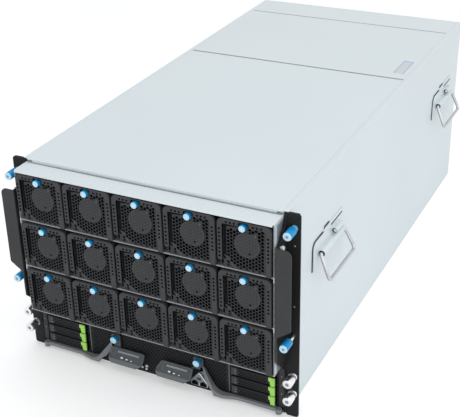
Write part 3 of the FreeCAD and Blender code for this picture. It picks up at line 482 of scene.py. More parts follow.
def stand(name, mesh, body, stands_for=(), place=(0, 0, 0)):
    """Piece that rides a body and may stand for nodes of the frame."""
    made = added(name, mesh)
    made.location = Vector(place) * MM
    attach(made, body)
    if stands_for:
        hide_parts(*stands_for)


def piece(name, bm, looks, stands_for=(), body="chassis"):
    """Piece with a mesh of its own, built in place."""
    stand(name, mesh_of(name, bm, looks), body, stands_for)


def dress(node, look, edge):
    """Finish on a node of the frame, with softly broken edges."""
    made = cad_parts[node]
    made.data.materials.clear()
    made.data.materials.append(look)
    if edge:
        weld = made.modifiers.new("joined", "WELD")
        weld.merge_threshold = 0.00001
        bevel = made.modifiers.new("edges", "BEVEL")
        bevel.width = edge * MM
        bevel.segments = 2
        bevel.limit_method = "ANGLE"
        bevel.angle_limit = BROKEN


# Fan modules, drawn from the lower left corner of a module

CAGE_LOW, CAGE_HIGH = box_mm("fan_cage")
GUARD_Y = CAGE_LOW.y
MODULE_LOW, MODULE_HIGH = box_mm("fan_module_r1c1")
MODULE_W = MODULE_HIGH.x - MODULE_LOW.x
MODULE_H = MODULE_HIGH.z - MODULE_LOW.z
MODULE_R = 8
MIDDLE = MODULE_W / 2
LEG_W, LEG_FOOT, RIM_PROUD = 7.6, 12, 4.5
GUARD_SHEET, SLEEVE_END = 1.5, 88
SHROUD_FRONT, SHROUD_END, SHROUD_R = 12, 38.3, 34.65
KNOB_Z = MODULE_H - 7.2
KNOB_LEFT, KNOB_DOWN = 0.8, 1
DISC, DISC_R = (44.5, 41.8), 20
PIN, PIN_R = (48.3, 29), 1.8
RIVET_SPOT = (57.2, 59.5)
CREASE = ((9.6, 20.4), (26.6, 1.6))
CELL_STEP_X, CELL_STEP_Z, CELL_R, CELL_COUNT = 4.76, 5.5, 2.6, 14
FAN_TAGS = ["r%dc%d" % (row, column) for row in (1, 2, 3) for column in (1, 2, 3, 4, 5)]
FAN_LOOKS = [RIM_COAT, RIVET_AND_CREASE_HIGHLIGHT, DEEP_SHADE, GUARD_COAT, SHADE, DISC_COAT]
IN_RIM, IN_RIVET_AND_HIGHLIGHT, IN_DEEP_SHADE, IN_GUARD, IN_SHADE, IN_DISC = range(6)


def fan_rim(bm):
    """Rim with one free leg, a notch round the knob and rows of small holes."""
    w, h = MODULE_W, MODULE_H
    under, inner, left, right = h - 7.9, w - 8.3, MIDDLE - 8, MIDDLE + 8
    rim = rounded(
        [(0, LEG_FOOT), (LEG_W, LEG_FOOT), (LEG_W, under), (left, under), (left, h - 1.2), (right, h - 1.2),
         (right, under), (inner, under), (inner, 0), (w, 0), (w, h), (0, h)],
        [3.7, 3.7, 2.5, 1, 3.5, 3.5, 1, 3, 0.6, 0.6, MODULE_R, MODULE_R])
    spots = [(3.6, 19 + 6.2 * k) for k in range(8)]
    spots += [(w - 4.2, 25.5 + 6 * k) for k in range(7)]
    for away in (14.5, 20.5, 26.6):
        spots += [(MIDDLE - away, h - 4.6), (MIDDLE + away, h - 4.6)]
    holes = [circle(x, z, 1.7, 10) for x, z in spots]
    # The walls inside the rim and its holes are painted near-black shade.
    slab(bm, rim, -RIM_PROUD, 0, front_view(), holes, 0.6, wall_mat=IN_DEEP_SHADE)

    # The walls on the outside of the module take the coat of the rim.
    for face in bm.faces:
        at = face.calc_center_median()
        round_off = math.hypot(max(0, MODULE_R - at.x, at.x - w + MODULE_R), max(0, at.z - h + MODULE_R))
        outside = min(at.x, w - at.x, h - at.z, MODULE_R - round_off) < 0.4
        if face.material_index == IN_DEEP_SHADE and outside:
            face.material_index = IN_RIM
    # Near-black sheet inside the rim, seen through its holes as painted shade.
    slab(bm, rim, -1.2, -0.6, front_view(), mat=IN_DEEP_SHADE)


def guard_cells():
    """Cells of the guard, clear of what it carries, and dimples of the disc."""
    cells, dimples = [], []
    kept_clear = ((DISC, DISC_R - 2.7), (RIVET_SPOT, 3.9), ((MIDDLE, KNOB_Z), 8.6))
    (x0, z0), (x1, z1) = CREASE
    for column in range(CELL_COUNT):
        x = 15.4 + CELL_STEP_X * column
        for row in range(CELL_COUNT):
            z = 4 + CELL_STEP_Z * (row + column % 2 / 2)
            if z > MODULE_H - 11 or x > MODULE_W - 11:
                continue
            if math.dist((x, z), DISC) < DISC_R - 2.3 and math.dist((x, z), PIN) > PIN_R + 2.2:
                dimples.append(circle(x, z, 1.6, 6))
            off_crease = abs((x1 - x0) * (z - z0) - (z1 - z0) * (x - x0)) / math.dist(*CREASE)
            in_recess = x < MIDDLE - 8 and z > MODULE_H - 16
            clear = all(math.dist((x, z), spot) >= gap for spot, gap in kept_clear)
            if clear and off_crease >= 2.1 and not in_recess:
                cells.append(circle(x, z, CELL_R, 6))
    return cells, dimples


def leg_recess(left, right, foot, end, dip, rise, top):
    """Recess beside the leg that turns to the knob; the last three sizes are taken from the top."""
    h = MODULE_H
    return [(left, foot), (right, foot), (right, h - dip), (end, h - rise), (end, h - top), (left, h - top)]


def fan_guard(bm):
    """Guard with cells round a plain disc, the recess beside the leg, a rivet, and a crease with a painted
    highlight.
    """
    w, h = MODULE_W, MODULE_H
    put = front_view()
    cells, dimples = guard_cells()
    plate = rounded([(LEG_W, 0), (w, 0), (w, h), (0, h), (0, LEG_FOOT), (LEG_W, LEG_FOOT)],
                    [0, 0, MODULE_R, MODULE_R, 0, 0])
    recess = leg_recess(7.7, 12.6, 13.5, MIDDLE - 11, 13, 11.6, 8)
    recess = rounded(recess, [0.8, 1.5, 2, 1.2, 0.8, 0.8], 3)
    slab(bm, plate, 0, GUARD_SHEET, put, [recess, *cells], mat=IN_GUARD)
    slab(bm, leg_recess(7, 13.4, 12.6, MIDDLE - 10, 13.8, 12.4, 7.2), 1.9, 2.3, put, mat=IN_SHADE)

    pin_hole = circle(*PIN, PIN_R, 12)
    disc = circle(*DISC, DISC_R, 40)
    slab(bm, disc, -0.35, 0.1, put, [pin_hole, *dimples], 0.2, mat=IN_DISC, hole_mat=IN_GUARD)
    backing = [(0, -0.05), (DISC_R - 0.3, -0.05), (DISC_R - 0.3, 1.4), (0, 1.4)]
    turn_form(bm, backing, front_view(DISC[0], 0, DISC[1]), 40, IN_GUARD)
    # Near-black disc in the pin hole, painted shade.
    slab(bm, pin_hole, -0.1, 0, put, mat=IN_DEEP_SHADE)
    rivet = [(1.7, 0), (1.6, -0.4), (1.1, -0.75), (0, -0.85)]
    turn_form(bm, rivet, front_view(RIVET_SPOT[0], 0, RIVET_SPOT[1]), 12, IN_RIVET_AND_HIGHLIGHT)
    # Thin ridge in the lighter rivet coat along the crease, a painted highlight on its edge.
    (x0, z0), (x1, z1) = CREASE
    crease = [(x0, z0), (x0 - 0.7, z0 - 0.7), (x1 - 0.7, z1 - 0.7), (x1, z1)]
    slab(bm, crease, -0.3, 0.2, put, mat=IN_RIVET_AND_HIGHLIGHT)


def fan_sleeve(bm):
    """Sleeve behind the guard, shroud round the rotor and cross that carries the motor."""
    put = front_view()
    half_h, inset, wall = MODULE_H / 2, 2.5, 4
    outside = soft(inset, MODULE_W - inset, inset, MODULE_H - inset, 1.5)
    inside = rect(wall, MODULE_W - wall, wall, MODULE_H - wall)
    # The sleeve's inner walls are painted near-black shade; the shroud has the same near-black, partly its
    # own dark tone and partly painted shade.
    slab(bm, outside, GUARD_SHEET, SLEEVE_END, put, [inside], mat=IN_GUARD, hole_mat=IN_DEEP_SHADE)
    bore = circle(MIDDLE, half_h, SHROUD_R, 40)
    slab(bm, inside, SHROUD_FRONT, SHROUD_END, put, [bore], hole_bevel=0.8, mat=IN_DEEP_SHADE)
    arm, pad = 4.5, 17
    quarter = [(MIDDLE - wall, arm), (pad, arm), (pad, pad), (arm, pad), (arm, half_h - wall)]
    cross = quarter + [(-u, v) for u, v in reversed(quarter)]
    cross += [(-u, -v) for u, v in cross]
    cross = [(MIDDLE + u, half_h + v) for u, v in cross]
    slab(bm, cross, SHROUD_END, SHROUD_END + 3, put, bevel=0.5, mat=IN_GUARD)


def fan_knob(bm):
    """Blue knob with a pale end, partly its own tone and partly painted highlight, and a light mark in its
    middle.
    """
    profile = [(0, 0), (4.4, 0), (4.4, -0.8), (5.1, -1.2), (5.3, -1.8), (5.3, -7.1), (5.2, -7.9), (4.9, -8.5),
               (4.5, -8.9, 1), (1.6, -8.9, 1), (1.4, -8.6, 2), (0, -8.6, 2)]
    turn_form(bm, profile, front_view())


def build_fans():
    """Fan cassettes and their knobs; the rotors are nodes of the frame."""
    cassette = drawn("fan_cassette", FAN_LOOKS, fan_rim, fan_guard, fan_sleeve)
    knob = drawn("fan_knob", [BLUE, PALE_BLUE_AND_HIGHLIGHT, WHITE], fan_knob)
    for tag in FAN_TAGS:
        node, body = "fan_module_" + tag, "fan_" + tag
        low = box_mm(node)[0]
        stand("fan_cassette_" + tag, cassette, body, [node], (low.x, GUARD_Y, low.z))
        spot = (low.x + MIDDLE - KNOB_LEFT, GUARD_Y, low.z + KNOB_Z - KNOB_DOWN)
        stand("fan_knob_" + tag, knob, body, (), spot)
        dress("fan_rotor_" + tag, ROTOR, 0.4)


# Rack ears, fan cage and screws

def build_ears():
    """Screws, rivets and lips of the rack ears, and dark strips of painted shade in the gaps beside the node.
    """
    pan = [(2.4, 0), (2.4, -2.5), (3.6, -2.6), (3.6, -4.2), (2.8, -5.4), (1.4, -5.9), (0, -5.9)]
    rivet = [(1.6, 0), (1.5, -0.5), (0.9, -0.9), (0, -0.9)]
    screws, lips = bmesh.new(), bmesh.new()
    for side in SIDES:
        turn_form(screws, pan, side_view(side * (WALL_X - 1), RACK_Y - 22.5, 304.5, side), 18)
        for z in (298, 198):
            turn_form(screws, rivet, front_view(side * 233, RACK_Y, z), 12, 1)
        lip = soft(*reach(side, 222.2, 239), 2, 5, [0, 0, 2, 2], 4)
        slab(lips, lip, -TOP_Z, -TOP_Z + 1.8, top_view(0, RACK_Y, 0), bevel=0.3)
        # Dark strips in the gaps between the ears and the node, painted shade.
        slab(lips, rect(*reach(side, 220.3, 222.4), 0.6, 90), 1.7, 2.5, ON_RACK)
    piece("ear_pan_screws", screws, [WHITE, DULL_STEEL])
    piece("ear_lips", lips, [EAR_PLAIN_AND_GAP_SHADE])


def build_cage_edges():
    """Cheeks of the fan cage, ends of its shelves, nose of its top, and a band of painted shade along the
    seam in front of the cover.
    """
    bm = bmesh.new()
    put = front_view(0, GUARD_Y, 0)
    low, top = CAGE_LOW.z, CAGE_HIGH.z
    shelf, row_pitch, nose_z = low + 1.5, 83.8, top - 0.6
    for side in SIDES:
        cheek = reach(side, 214.35, 215.85)
        slab(bm, rect(*cheek, low, nose_z), -0.1, 9.2, put, mat=1, wall_mat=0)
        for row in range(3):
            z = shelf + row_pitch * row
            slab(bm, rect(*cheek, max(low, z - 8), z), -0.35, 0, put)
    nose = [(0, top), (-2.6, top), (-3.2, nose_z), (-3.2, 340.6), (-2.2, 340.6), (-2.2, 341.9), (0, 341.9)]
    slab(bm, nose, -213.8, 213.8, lambda u, v, w: (w, GUARD_Y + u, v))
    # Pale band of painted shade along the gap in front of the cover's lip.
    slab(bm, rect(-213, 213, -2.2, 0.8), -0.1, 0, top_view(0, RACK_Y, top), mat=2)
    piece("cage_edges", bm, [ZINC, DULL_STEEL, PALE_SEAM_SHADE])


def build_screws():
    """Blue rack screws, the lower two pulled out, and steel screws beside the node."""
    knobs, shanks, captive = bmesh.new(), bmesh.new(), bmesh.new()
    back = -7
    knob = [(0, back), (5.2, back, 3), (6.2, back - 0.4, 3), (6.5, back - 1.2, 3), (6.5, -26),
            (6.35, -27.1), (5.8, -28, 1), (2.2, -28, 1), (2, -27, 2), (0, -27, 2)]
    collar = [(0, 0), (4.8, 0, 3), (5, -0.4, 3), (5, back, 3), (0, back, 3)]
    steel_screw = [(0, -22.4, 1), (2.6, -22.4, 1), (2.8, -24, 1), (6.3, -24), (7.1, -23.6), (7.4, -22.8),
                   (7.4, -11), (7, -8.6), (6.2, -6.6), (5.8, -6, 1), (5.8, -3.4, 1), (6.5, -3.4),
                   (6.9, -2.6), (6.9, -0.2), (6.7, 0), (2.4, 0), (2.4, 3), (2.9, 3), (2.9, 11.2),
                   (2.2, 12), (0, 12)]
    for side in SIDES:
        for z, pulled in ((326.4, 0), (148.6, 11)):
            put = front_view(side * RACK_X, RACK_Y - pulled, z)
            turn_form(knobs, knob, put, 32)
            if not pulled:
                turn_form(knobs, collar, put, 32)
            end = 12 + pulled
            neck = [(3.5, back), (3.5, pulled - 0.2)] if pulled else [(2.4, back)]
            turn_form(shanks, [(0, back), *neck, (2.4, pulled), (2.4, 3 + pulled), (2.9, 3 + pulled),
                               (2.9, end - 0.8), (2.2, end), (0, end)], put, 20)
        for z in (75.55, 43.8):
            turn_form(captive, steel_screw, front_view(side * RACK_X, RACK_Y, z), 30)
    piece("rack_screw_knobs", knobs, [BLUE, PALE_BLUE_AND_HIGHLIGHT, DRIVER_RECESS, SKY], ["rack_thumbscrews"])
    piece("rack_screw_shanks", shanks, [STEEL])
    piece("node_screws", captive, [STEEL, SLATE_PALE], ["node_captive_screws"])


# Side handles

BAIL_X, BAIL_Z, BAIL_LEG, BAIL_TILT, ROD_R = 228.5, 222, 43, math.radians(24), 3
BAIL_HIGH_HALF, BAIL_LOW_HALF, BAIL_END = 49.5, 55, 22
BRACKET_MIDDLE = 68.5
BRACKETS = (("front", RACK_Y + 95), ("rear", RACK_Y + 732))


def bail_path(side, middle):
    """Bent rod: two ends in the sleeve, two legs and the grip between them."""
    low_x, low_z = BAIL_X + BAIL_LEG * math.sin(BAIL_TILT), BAIL_Z - BAIL_LEG * math.cos(BAIL_TILT)
    half = [(BAIL_X, BAIL_HIGH_HALF - BAIL_END, BAIL_Z), (BAIL_X, BAIL_HIGH_HALF, BAIL_Z),
            (low_x, BAIL_LOW_HALF, low_z)]
    points = [(side * x, middle - y, z) for x, y, z in half]
    points += [(side * x, middle + y, z) for x, y, z in reversed(half)]
    return bent(points, (3.4, 6, 6, 3.4))


def build_bails():
    """Rods of the side handles, painted shadow lines round the brackets, and painted shade at the ends of the
    rolled sleeves.
    """
    low_shadow = soft(-2.2, 42, 200, 249.6, [0, 0, 1, 13], 6)
    high_shadow = soft(46, 67, 202, 255.2, [0, 0, 1, 1], 4)
    top_shadow_strip = soft(71, 120, 244.8, 247.9, 1.2, 3)
    sleeves = ((22.5, 114.5, BAIL_Z, 4.9, 3.3, 0), (76, 104, 234.8, 4, 2.8, 1))
    shadow_sheets, ends = bmesh.new(), bmesh.new()
    for side_name, side in zip(("left", "right"), SIDES):
        for place, front in BRACKETS:
            tag = side_name + "_" + place
            bm = bmesh.new()
            tube(bm, bail_path(side, front + BRACKET_MIDDLE), ROD_R, 16)
            piece("bail_rod_" + tag, bm, [CHROME], ["bail_" + tag], "bail_" + tag)
            put = side_view(side * WALL_X, front, 0, side)
            # Dark sheets under each bracket show at its front and top edges as painted shadow lines; the
            # strip carries the line along the top of its rear part.
            for pad in (low_shadow, high_shadow):
                slab(shadow_sheets, pad, -1.1, 0, put, bevel=0.2)
            slab(shadow_sheets, top_shadow_strip, -2.06, -1.9, put)
            # Near-black rings at the ends of the rolled sleeves, painted shade of their insides.
            for first, last, z, r, bore, shift in sleeves:
                hole = circle(side * (BAIL_X + shift), z + shift / 4, bore, 20)
                for y, w in ((front + first, -0.15), (front + last, 0)):
                    slab(ends, circle(side * BAIL_X, z, r, 24), w, w + 0.15, front_view(0, y, 0), [hole])
    piece("bracket_shadow_lines", shadow_sheets, [BRACKET_SHADOW])
    piece("bracket_roll_end_shade", ends, [DEEP_SHADE])


# Drives, drawn from the lower left corner of a carrier

DRIVE_LOW, DRIVE_HIGH = box_mm("drive_right_1")
DRIVE_W = DRIVE_HIGH.x - DRIVE_LOW.x
DRIVE_H = DRIVE_HIGH.z - DRIVE_LOW.z


def drive_carrier(bm):
    """Perforated face with a status block and ribs, and the carrier behind."""
    put = front_view()
    top, rib_ends = DRIVE_H - 0.8, (11.2, 61.2)
    face, block, light, dark, body = range(5)
    holes = [circle(14 + 3.9 * (k + row % 2 / 2), 4 + 3.3 * row, 1.3, 6)
             for row in range(3) for k in range(12)]
    # The walls of the holes and the sheet behind the face are near-black painted shade.
    slab(bm, soft(0, DRIVE_W, 0.6, top, 0.8), -5, -3.6, put, holes, 0.4, wall_mat=dark)
    slab(bm, rect(0.2, DRIVE_W - 0.2, 0.6, top), -3, 0, put, mat=dark)
    slab(bm, soft(0.6, 10.2, 1, DRIVE_H - 1.4, 1, 3), -6, -3.6, put, bevel=0.5, mat=block)
    upper_rib = soft(*rib_ends, DRIVE_H - 3.9, DRIVE_H - 1.2, 0.8)
    slab(bm, upper_rib, -6, -4, put, bevel=0.4, mat=body)
    slab(bm, soft(*rib_ends, 0.9, 2.1, 0.5), -5.7, -4, put, bevel=0.3, mat=face)
    for z in (5, 9.6):
        turn_form(bm, [(0.7, -6.2), (0, -6.3)], front_view(7.6, 0, z), 10, light)
    slab(bm, rect(1, DRIVE_W - 1, 0, DRIVE_H - 1), 0, 100, put, mat=body)


def drive_latch(bm):
    """Lime tab that narrows in steps to its lower end, with finger ribs."""
    tab = [(66.6, 0.2), (73.6, 0.2), (73.6, 15.6), (63.2, 15.6), (63.2, 9.4), (65.4, 8.2), (65.8, 4.6)]
    tab = rounded(tab, [0.4, 0.4, 0.4, 0.8, 0.8, 0.6, 0.8], 3)
    slab(bm, tab, -8, -6, front_view(), bevel=0.5)
    for z in (3.4, 6.4, 11.8):
        slab(bm, soft(68, 72.6, z - 0.5, z + 0.5, 0.4), -8.3, -7.9, front_view(), bevel=0.2)


def build_drives():
    """Six drive carriers with their latches."""
    looks = [MOULDING, MOULDING_GREY, SLATE_PALE, DEEP_SHADE, PANEL_COAT]
    carrier = drawn("drive_front", looks, drive_carrier)
    latch = drawn("drive_latch", [LIME], drive_latch)
    for tag in ("left_1", "left_2", "left_3", "right_1", "right_2", "right_3"):
        node = "drive_" + tag
        low = box_mm(node)[0]
        place = (low.x, RACK_Y, low.z)
        stand("drive_carrier_" + tag, carrier, node, [node], place)
        stand("drive_latch_" + tag, latch, node, (), place)


# Compute node front

NODE_LOW, NODE_HIGH = box_mm("node_front_panel")
NODE_HALF = NODE_HIGH.x
BAY_X = (DRIVE_LOW.x - 0.3, DRIVE_HIGH.x + 0.3)
BAY_Z = (DRIVE_LOW.z - 0.3, box_mm("drive_right_3")[1].z + 0.6)
DRIVE_BAYS = [rect(*reach(side, *BAY_X), *BAY_Z) for side in (1, -1)]
PIVOT_X, PIVOT_Y = 212, -7


def node_holes():
    """Hexagonal air holes between the drives and above them."""
    holes = []
    pitch, radius = 4.7, 1.55
    rise = pitch * HEX_RISE
    for row in range(20):
        z = 7.5 + rise * row
        for k in range(-44, 45):
            x = pitch * (k + row % 2 / 2)
            if z < NODE_HIGH.z - 3.5 and (abs(x) < 120 or 134 < abs(x) < 204 and z > 70.5):
                holes.append(circle(x, z, radius, 6, math.pi / 6))
    return holes


def node_panel(bm):
    """Perforated panel, end flanges with rivets, lever lugs with pins, and two upright bars."""
    put = ON_RACK
    panel, metal, dark, flange_coat, arm = range(5)
    outline = rect(-NODE_HALF, NODE_HALF, NODE_LOW.z, NODE_HIGH.z)
    # The walls of the holes and the sheet behind the panel are near-black painted shade.
    slab(bm, outline, 0, 0.9, put, DRIVE_BAYS + node_holes(), mat=panel, wall_mat=dark)
    slab(bm, outline, 1, 1.5, put, DRIVE_BAYS, mat=dark)
    rivet = [(1.1, 0), (1, -0.4), (0.5, -0.6), (0, -0.6)]
    pin = [(0, -6.3), (3, -6.3), (3, -12.2), (2.6, -12.6), (0, -12.6)]
    for side in SIDES:
        ends = reach(side, NODE_HALF - 9, NODE_HALF)
        flange = soft(*ends, 14, NODE_HIGH.z, [0.5, 0.5, 4.4, 4.4], 5)
        slab(bm, flange, -2.5, 0, put, bevel=0.6, mat=flange_coat)
        for z in (70, 54.1, 38.2):
            turn_form(bm, rivet, front_view(side * (NODE_HALF - 4.5), RACK_Y - 2.5, z), 12, metal)
        x, y = side * PIVOT_X, PIVOT_Y
        lug = rounded([(x - 5, 0), (x - 5, y - 5), (x + 5, y - 5), (x + 5, 0)], [0, 4.8, 4.8, 0], 6)
        slab(bm, lug, -6.3, -4.4, top_view(0, RACK_Y, 0), bevel=0.4, mat=arm)
        turn_form(bm, pin, top_view(x, RACK_Y + y, 0), 18, arm)
        bar = side * 126.5
        slab(bm, soft(bar - 0.6, bar + 0.6, 14, 84, 0.3), -1.2, 0, put, bevel=0.3, mat=metal)


def node_ports(bm):
    """Port block that narrows upwards, with two sockets and a small plate."""
    put = ON_RACK
    body, dark, grey, edge = range(4)
    block = rounded([(62, 11.5), (92, 11.5), (92, 19.5), (77, 38), (62, 19.5)], 3, 4)
    jack = [(0, 0), (11.5, 0), (11.5, 6.2), (8.8, 6.2), (8.8, 8.6), (2.7, 8.6), (2.7, 6.2), (0, 6.2)]
    jacks_x, jacks_z = (64, 78.5), 13
    ports = [[(x + u, jacks_z + v) for u, v in jack] for x in jacks_x]
    # The insides of the sockets and the sheet behind them are near-black painted shade.
    slab(bm, block, -8, 0, put, ports, 1, mat=body, hole_mat=dark, edge_mat=edge)
    slab(bm, moved_in(turned_way(block, 1), 0.8), -0.4, 0.2, put, mat=dark)
    slab(bm, soft(76.3, 77.7, 12.6, 19, 0.4), -8.3, -7.6, put, bevel=0.2, mat=edge)
    slab(bm, soft(73.4, 80.6, 23.5, 28, 0.8, 3), -8.4, -7.6, put, bevel=0.3, mat=grey)
    for x in jacks_x:
        for k in range(6):
            contact = x + 2 + 1.4 * k
            slab(bm, rect(contact, contact + 0.6, 13.8, 14.4), -6, -0.4, put, mat=grey)


def build_node_front():
    """Node front: panel, port block and three small buttons."""
    body, slot = "compute_node", "black_sheet"
    panel = drawn("node_front", [PANEL_COAT, DULL_STEEL, DEEP_SHADE, FLANGE_COAT, SLATE_ARM], node_panel)
    stand("node_front", panel, body, ["node_front_panel"])
    ports = drawn("node_ports", [SLATE_ARM, DEEP_SHADE, SLATE_DARK, ZINC_INNER], node_ports)
    stand("node_ports", ports, body)
    bm = bmesh.new()
    for x, z, r in ((-30.4, 10.9, 2), (-22.1, 15.1, 2.3), (-22.9, 9.3, 1.9)):
        turn_form(bm, [(r, 0), (r, -1.4), (r * 0.8, -1.9), (0, -1.9)], front_view(x, RACK_Y, z), 14)
    piece("node_buttons", bm, [WHITE], body=body)


# Levers. The stops give depth before the ears and height along the arm, from the tab to the eye.

LEVER_FRONT = [(83.5, -5), (103.5, -15), (120, -15), (142, -9)]
LEVER_BACK = [(83.5, -0.8), (103.5, -4), (120, -4), (142, -2.5)]
LEVER_LOW = [(78.5, 38.5), (93.5, 19.5), (103.5, 12.6), (105.5, 6.6)]
LEVER_HIGH = sorted(rounded([(84.5, 47.6), (109.5, 12.6), (212, 12.6)], [0, 20, 0], 10))
LEVER_STATIONS = (78.6, 81, 83.5, 87, 90, 93.5, 96, 98.5, 101, 103.5, 104.5, 105.5, 107.5, 110,
                  113, 116.5, 120, 125, 131, 142, 170, 208.5)
TAB_LOW, TAB_FRONT = 38.5, -5
LEVER_SCREW_X, LEVER_SCREW_Z = 75, 57
LEVER_LOOKS = [SLATE, SLATE_DARK, SLATE_PALE, WHITE, SLATE_ARM, SLATE_LIP]
ON_FACE, ON_DARK, ON_HATCH, ON_MARK, ON_ARM, ON_LIP = range(6)

# Face of a grip: its depth and rise, the place of its lower edge, and the foot of the lip below
GRIP_DEPTH, GRIP_RISE = 13.5, 15
GRIP_Y, GRIP_Z = -20.5, 27
LIP_Y, LIP_Z = -19, 16.5
GRIP_RUN = math.hypot(GRIP_DEPTH, GRIP_RISE)


def along(x, stops):
    """Value at a place between stops."""
    if x <= stops[0][0]:
        return stops[0][1]
    for (x0, v0), (x1, v1) in zip(stops, stops[1:]):
        if x <= x1:
            return v0 + (v1 - v0) * (x - x0) / (x1 - x0)
    return stops[-1][1]


def lever_arm(bm, side):
    """Bar with its eye, arm that curves up from it, and screw tab."""
    rings = []
    cut = 0.7
    for x in LEVER_STATIONS:
        low, high = along(x, LEVER_LOW), along(x, LEVER_HIGH)
        front, back = along(x, LEVER_FRONT), along(x, LEVER_BACK)
        section = [(front, low + cut), (front, high - cut), (front + cut, high), (back - cut, high),
                   (back, high - cut), (back, low + cut), (back - cut, low), (front + cut, low)]
        rings.append([bm.verts.new((side * x, RACK_Y + y, z)) for y, z in section])
    bridge(bm, rings, ON_ARM)
    eye = [(3.05, -12.6), (4.6, -12.6), (5.1, -12.1), (5.1, -7.1), (4.6, -6.6), (3.05, -6.6), (3.05, -12.6)]
    turn_form(bm, eye, top_view(side * PIVOT_X, RACK_Y + PIVOT_Y, 0), 26, ON_ARM)
    tab = soft(*reach(side, 66.5, 83.5), TAB_LOW, 64, [1, 1, 4, 4], 4)
    screw_hole = circle(side * LEVER_SCREW_X, LEVER_SCREW_Z, 2.1, 14)
    slab(bm, tab, TAB_FRONT, -2.5, ON_RACK, [screw_hole], 0.5)


def grip_put(u, v, w):
    """Sloped face of a grip: v runs up the slope, w goes in from its face."""
    y = GRIP_Y + (GRIP_DEPTH * v + GRIP_RISE * w) / GRIP_RUN
    return u, RACK_Y + y, GRIP_Z + (GRIP_RISE * v - GRIP_DEPTH * w) / GRIP_RUN


def lip_put(u, v, w):
    """Lip under the face of a grip: v is the height."""
    return u, RACK_Y + LIP_Y + (GRIP_Y - LIP_Y) * (v - LIP_Z) / (GRIP_Z - LIP_Z) + w, v


def lever_grip(bm, x0, x1, top_slant):
    """Grip with a raised rim, a hatched slot, three marks and a lip below."""
    shape = [(x0 + 0.6, -0.2), (x1 - 0.4, -0.2), (x1, 7), (x1 - 0.6, GRIP_RUN),
             (x0 + 0.6 + top_slant, GRIP_RUN), (x0, 7)]
    outline = turned_way(rounded(shape, [1, 1, 6, 4, 4, 6], 5), 1)
    slab(bm, outline, 0, 3.6, grip_put, [moved_in(outline, 2.6)], 0.9, 0.7, edge_mat=ON_LIP)
    slab(bm, moved_in(outline, 2.4), 0.9, 3.4, grip_put, mat=ON_FACE)

    u0, u1, stroke = x0 + 13 + top_slant / 2, x1 - 8, 1.6
    slab(bm, soft(u0, u1, 11.8, 15.6, 1.4, 3), 0.5, 1, grip_put, mat=ON_DARK)
    count = int((u1 - u0) / stroke)
    for k in range(count):
        u = u0 + stroke / 2 + k * (u1 - u0 - stroke) / count
        hatch = [(u, 12.1), (u + 1.2, 12.1), (u + 1.7, 15.3), (u + 0.5, 15.3)]
        slab(bm, hatch, 0.2, 0.6, grip_put, mat=ON_HATCH)

    for k, (wide, high) in enumerate(((4.2, 2.6), (3.6, 2), (2.8, 1.5))):
        u, v = x0 + 22 + 9.2 * k, 4 - 0.4 * k
        slab(bm, soft(u, u + wide, v, v + high, 0.4), 0.4, 1, grip_put, mat=ON_MARK)
    dark = x0 + 27.2
    slab(bm, soft(dark, dark + 3, 3.4, 7.2, 0.5), 0.6, 1, grip_put, mat=ON_DARK)
    rib = x0 + 8.6 + top_slant / 2
    slab(bm, soft(rib, rib + 1.2, 4.5, 17, 0.5), 0.2, 1, grip_put, mat=ON_LIP)
    lip = [(x0 + 1.6, LIP_Z), (x1 - 12.5, LIP_Z), (x1 - 0.6, 27.2), (x0 + 0.6, 27.2)]
    slab(bm, rounded(lip, [3, 3, 0, 0], 4), 0, 4.8, lip_put, bevel=0.8, mat=ON_LIP)


def build_levers():
    """Two ejector levers with grips, and their blue screws."""
    knob = [(2, 4.4), (2, 0), (5.2, 0), (5.2, -0.8), (6, -1.3), (6.2, -1.8), (6.2, -6.4), (6, -7.2),
            (5.6, -7.7), (5.1, -8, 1), (2.1, -8, 1), (1.9, -7.6, 2), (0, -7.6, 2)]
    for name, side, x0, x1, top_slant in (("left", -1, -82.5, -20, 0), ("right", 1, 4.5, 67, 5.5)):
        bm = bmesh.new()
        lever_arm(bm, side)
        lever_grip(bm, x0, x1, top_slant)
        neck = sorted((side * 83, x0 + 5 if side < 0 else x1 - 5))
        slab(bm, soft(*neck, TAB_LOW, 42, 0.6), TAB_FRONT, -2.6, ON_RACK, bevel=0.4)
        body = name + "_lever"
        piece("lever_arm_" + name, bm, LEVER_LOOKS, ["lever_" + name], body)
        bm = bmesh.new()
        turn_form(bm, knob, front_view(side * LEVER_SCREW_X, RACK_Y + TAB_FRONT, LEVER_SCREW_Z))
        piece("lever_knob_" + name, bm, [BLUE, PALE_BLUE_AND_HIGHLIGHT, WHITE], body=body)


# Plain nodes of the frame and the covers

def build_plain():
    """Finishes of nodes that stay as they are, with the width of broken edges."""
    for node, look, edge in (
            ("chassis_shell", ZINC, 0.35), ("front_top_cover", ZINC, 0.35), ("rear_top_cover", ZINC, 0.35),
            ("rear_panel", ZINC, 0.25), ("fan_cage", SHADED_CAGE_SHEET, 0.25), ("side_handle_brackets", ZINC, 0.3),
            ("rack_ears", EAR_COAT, 0.4), ("node_tray", ZINC_INNER, 0), ("accelerator_board", SINKS, 0),
            ("node_mainboard", MAINBOARD, 0), ("expansion_cards", CARDS, 0)):
        dress(node, look, edge)


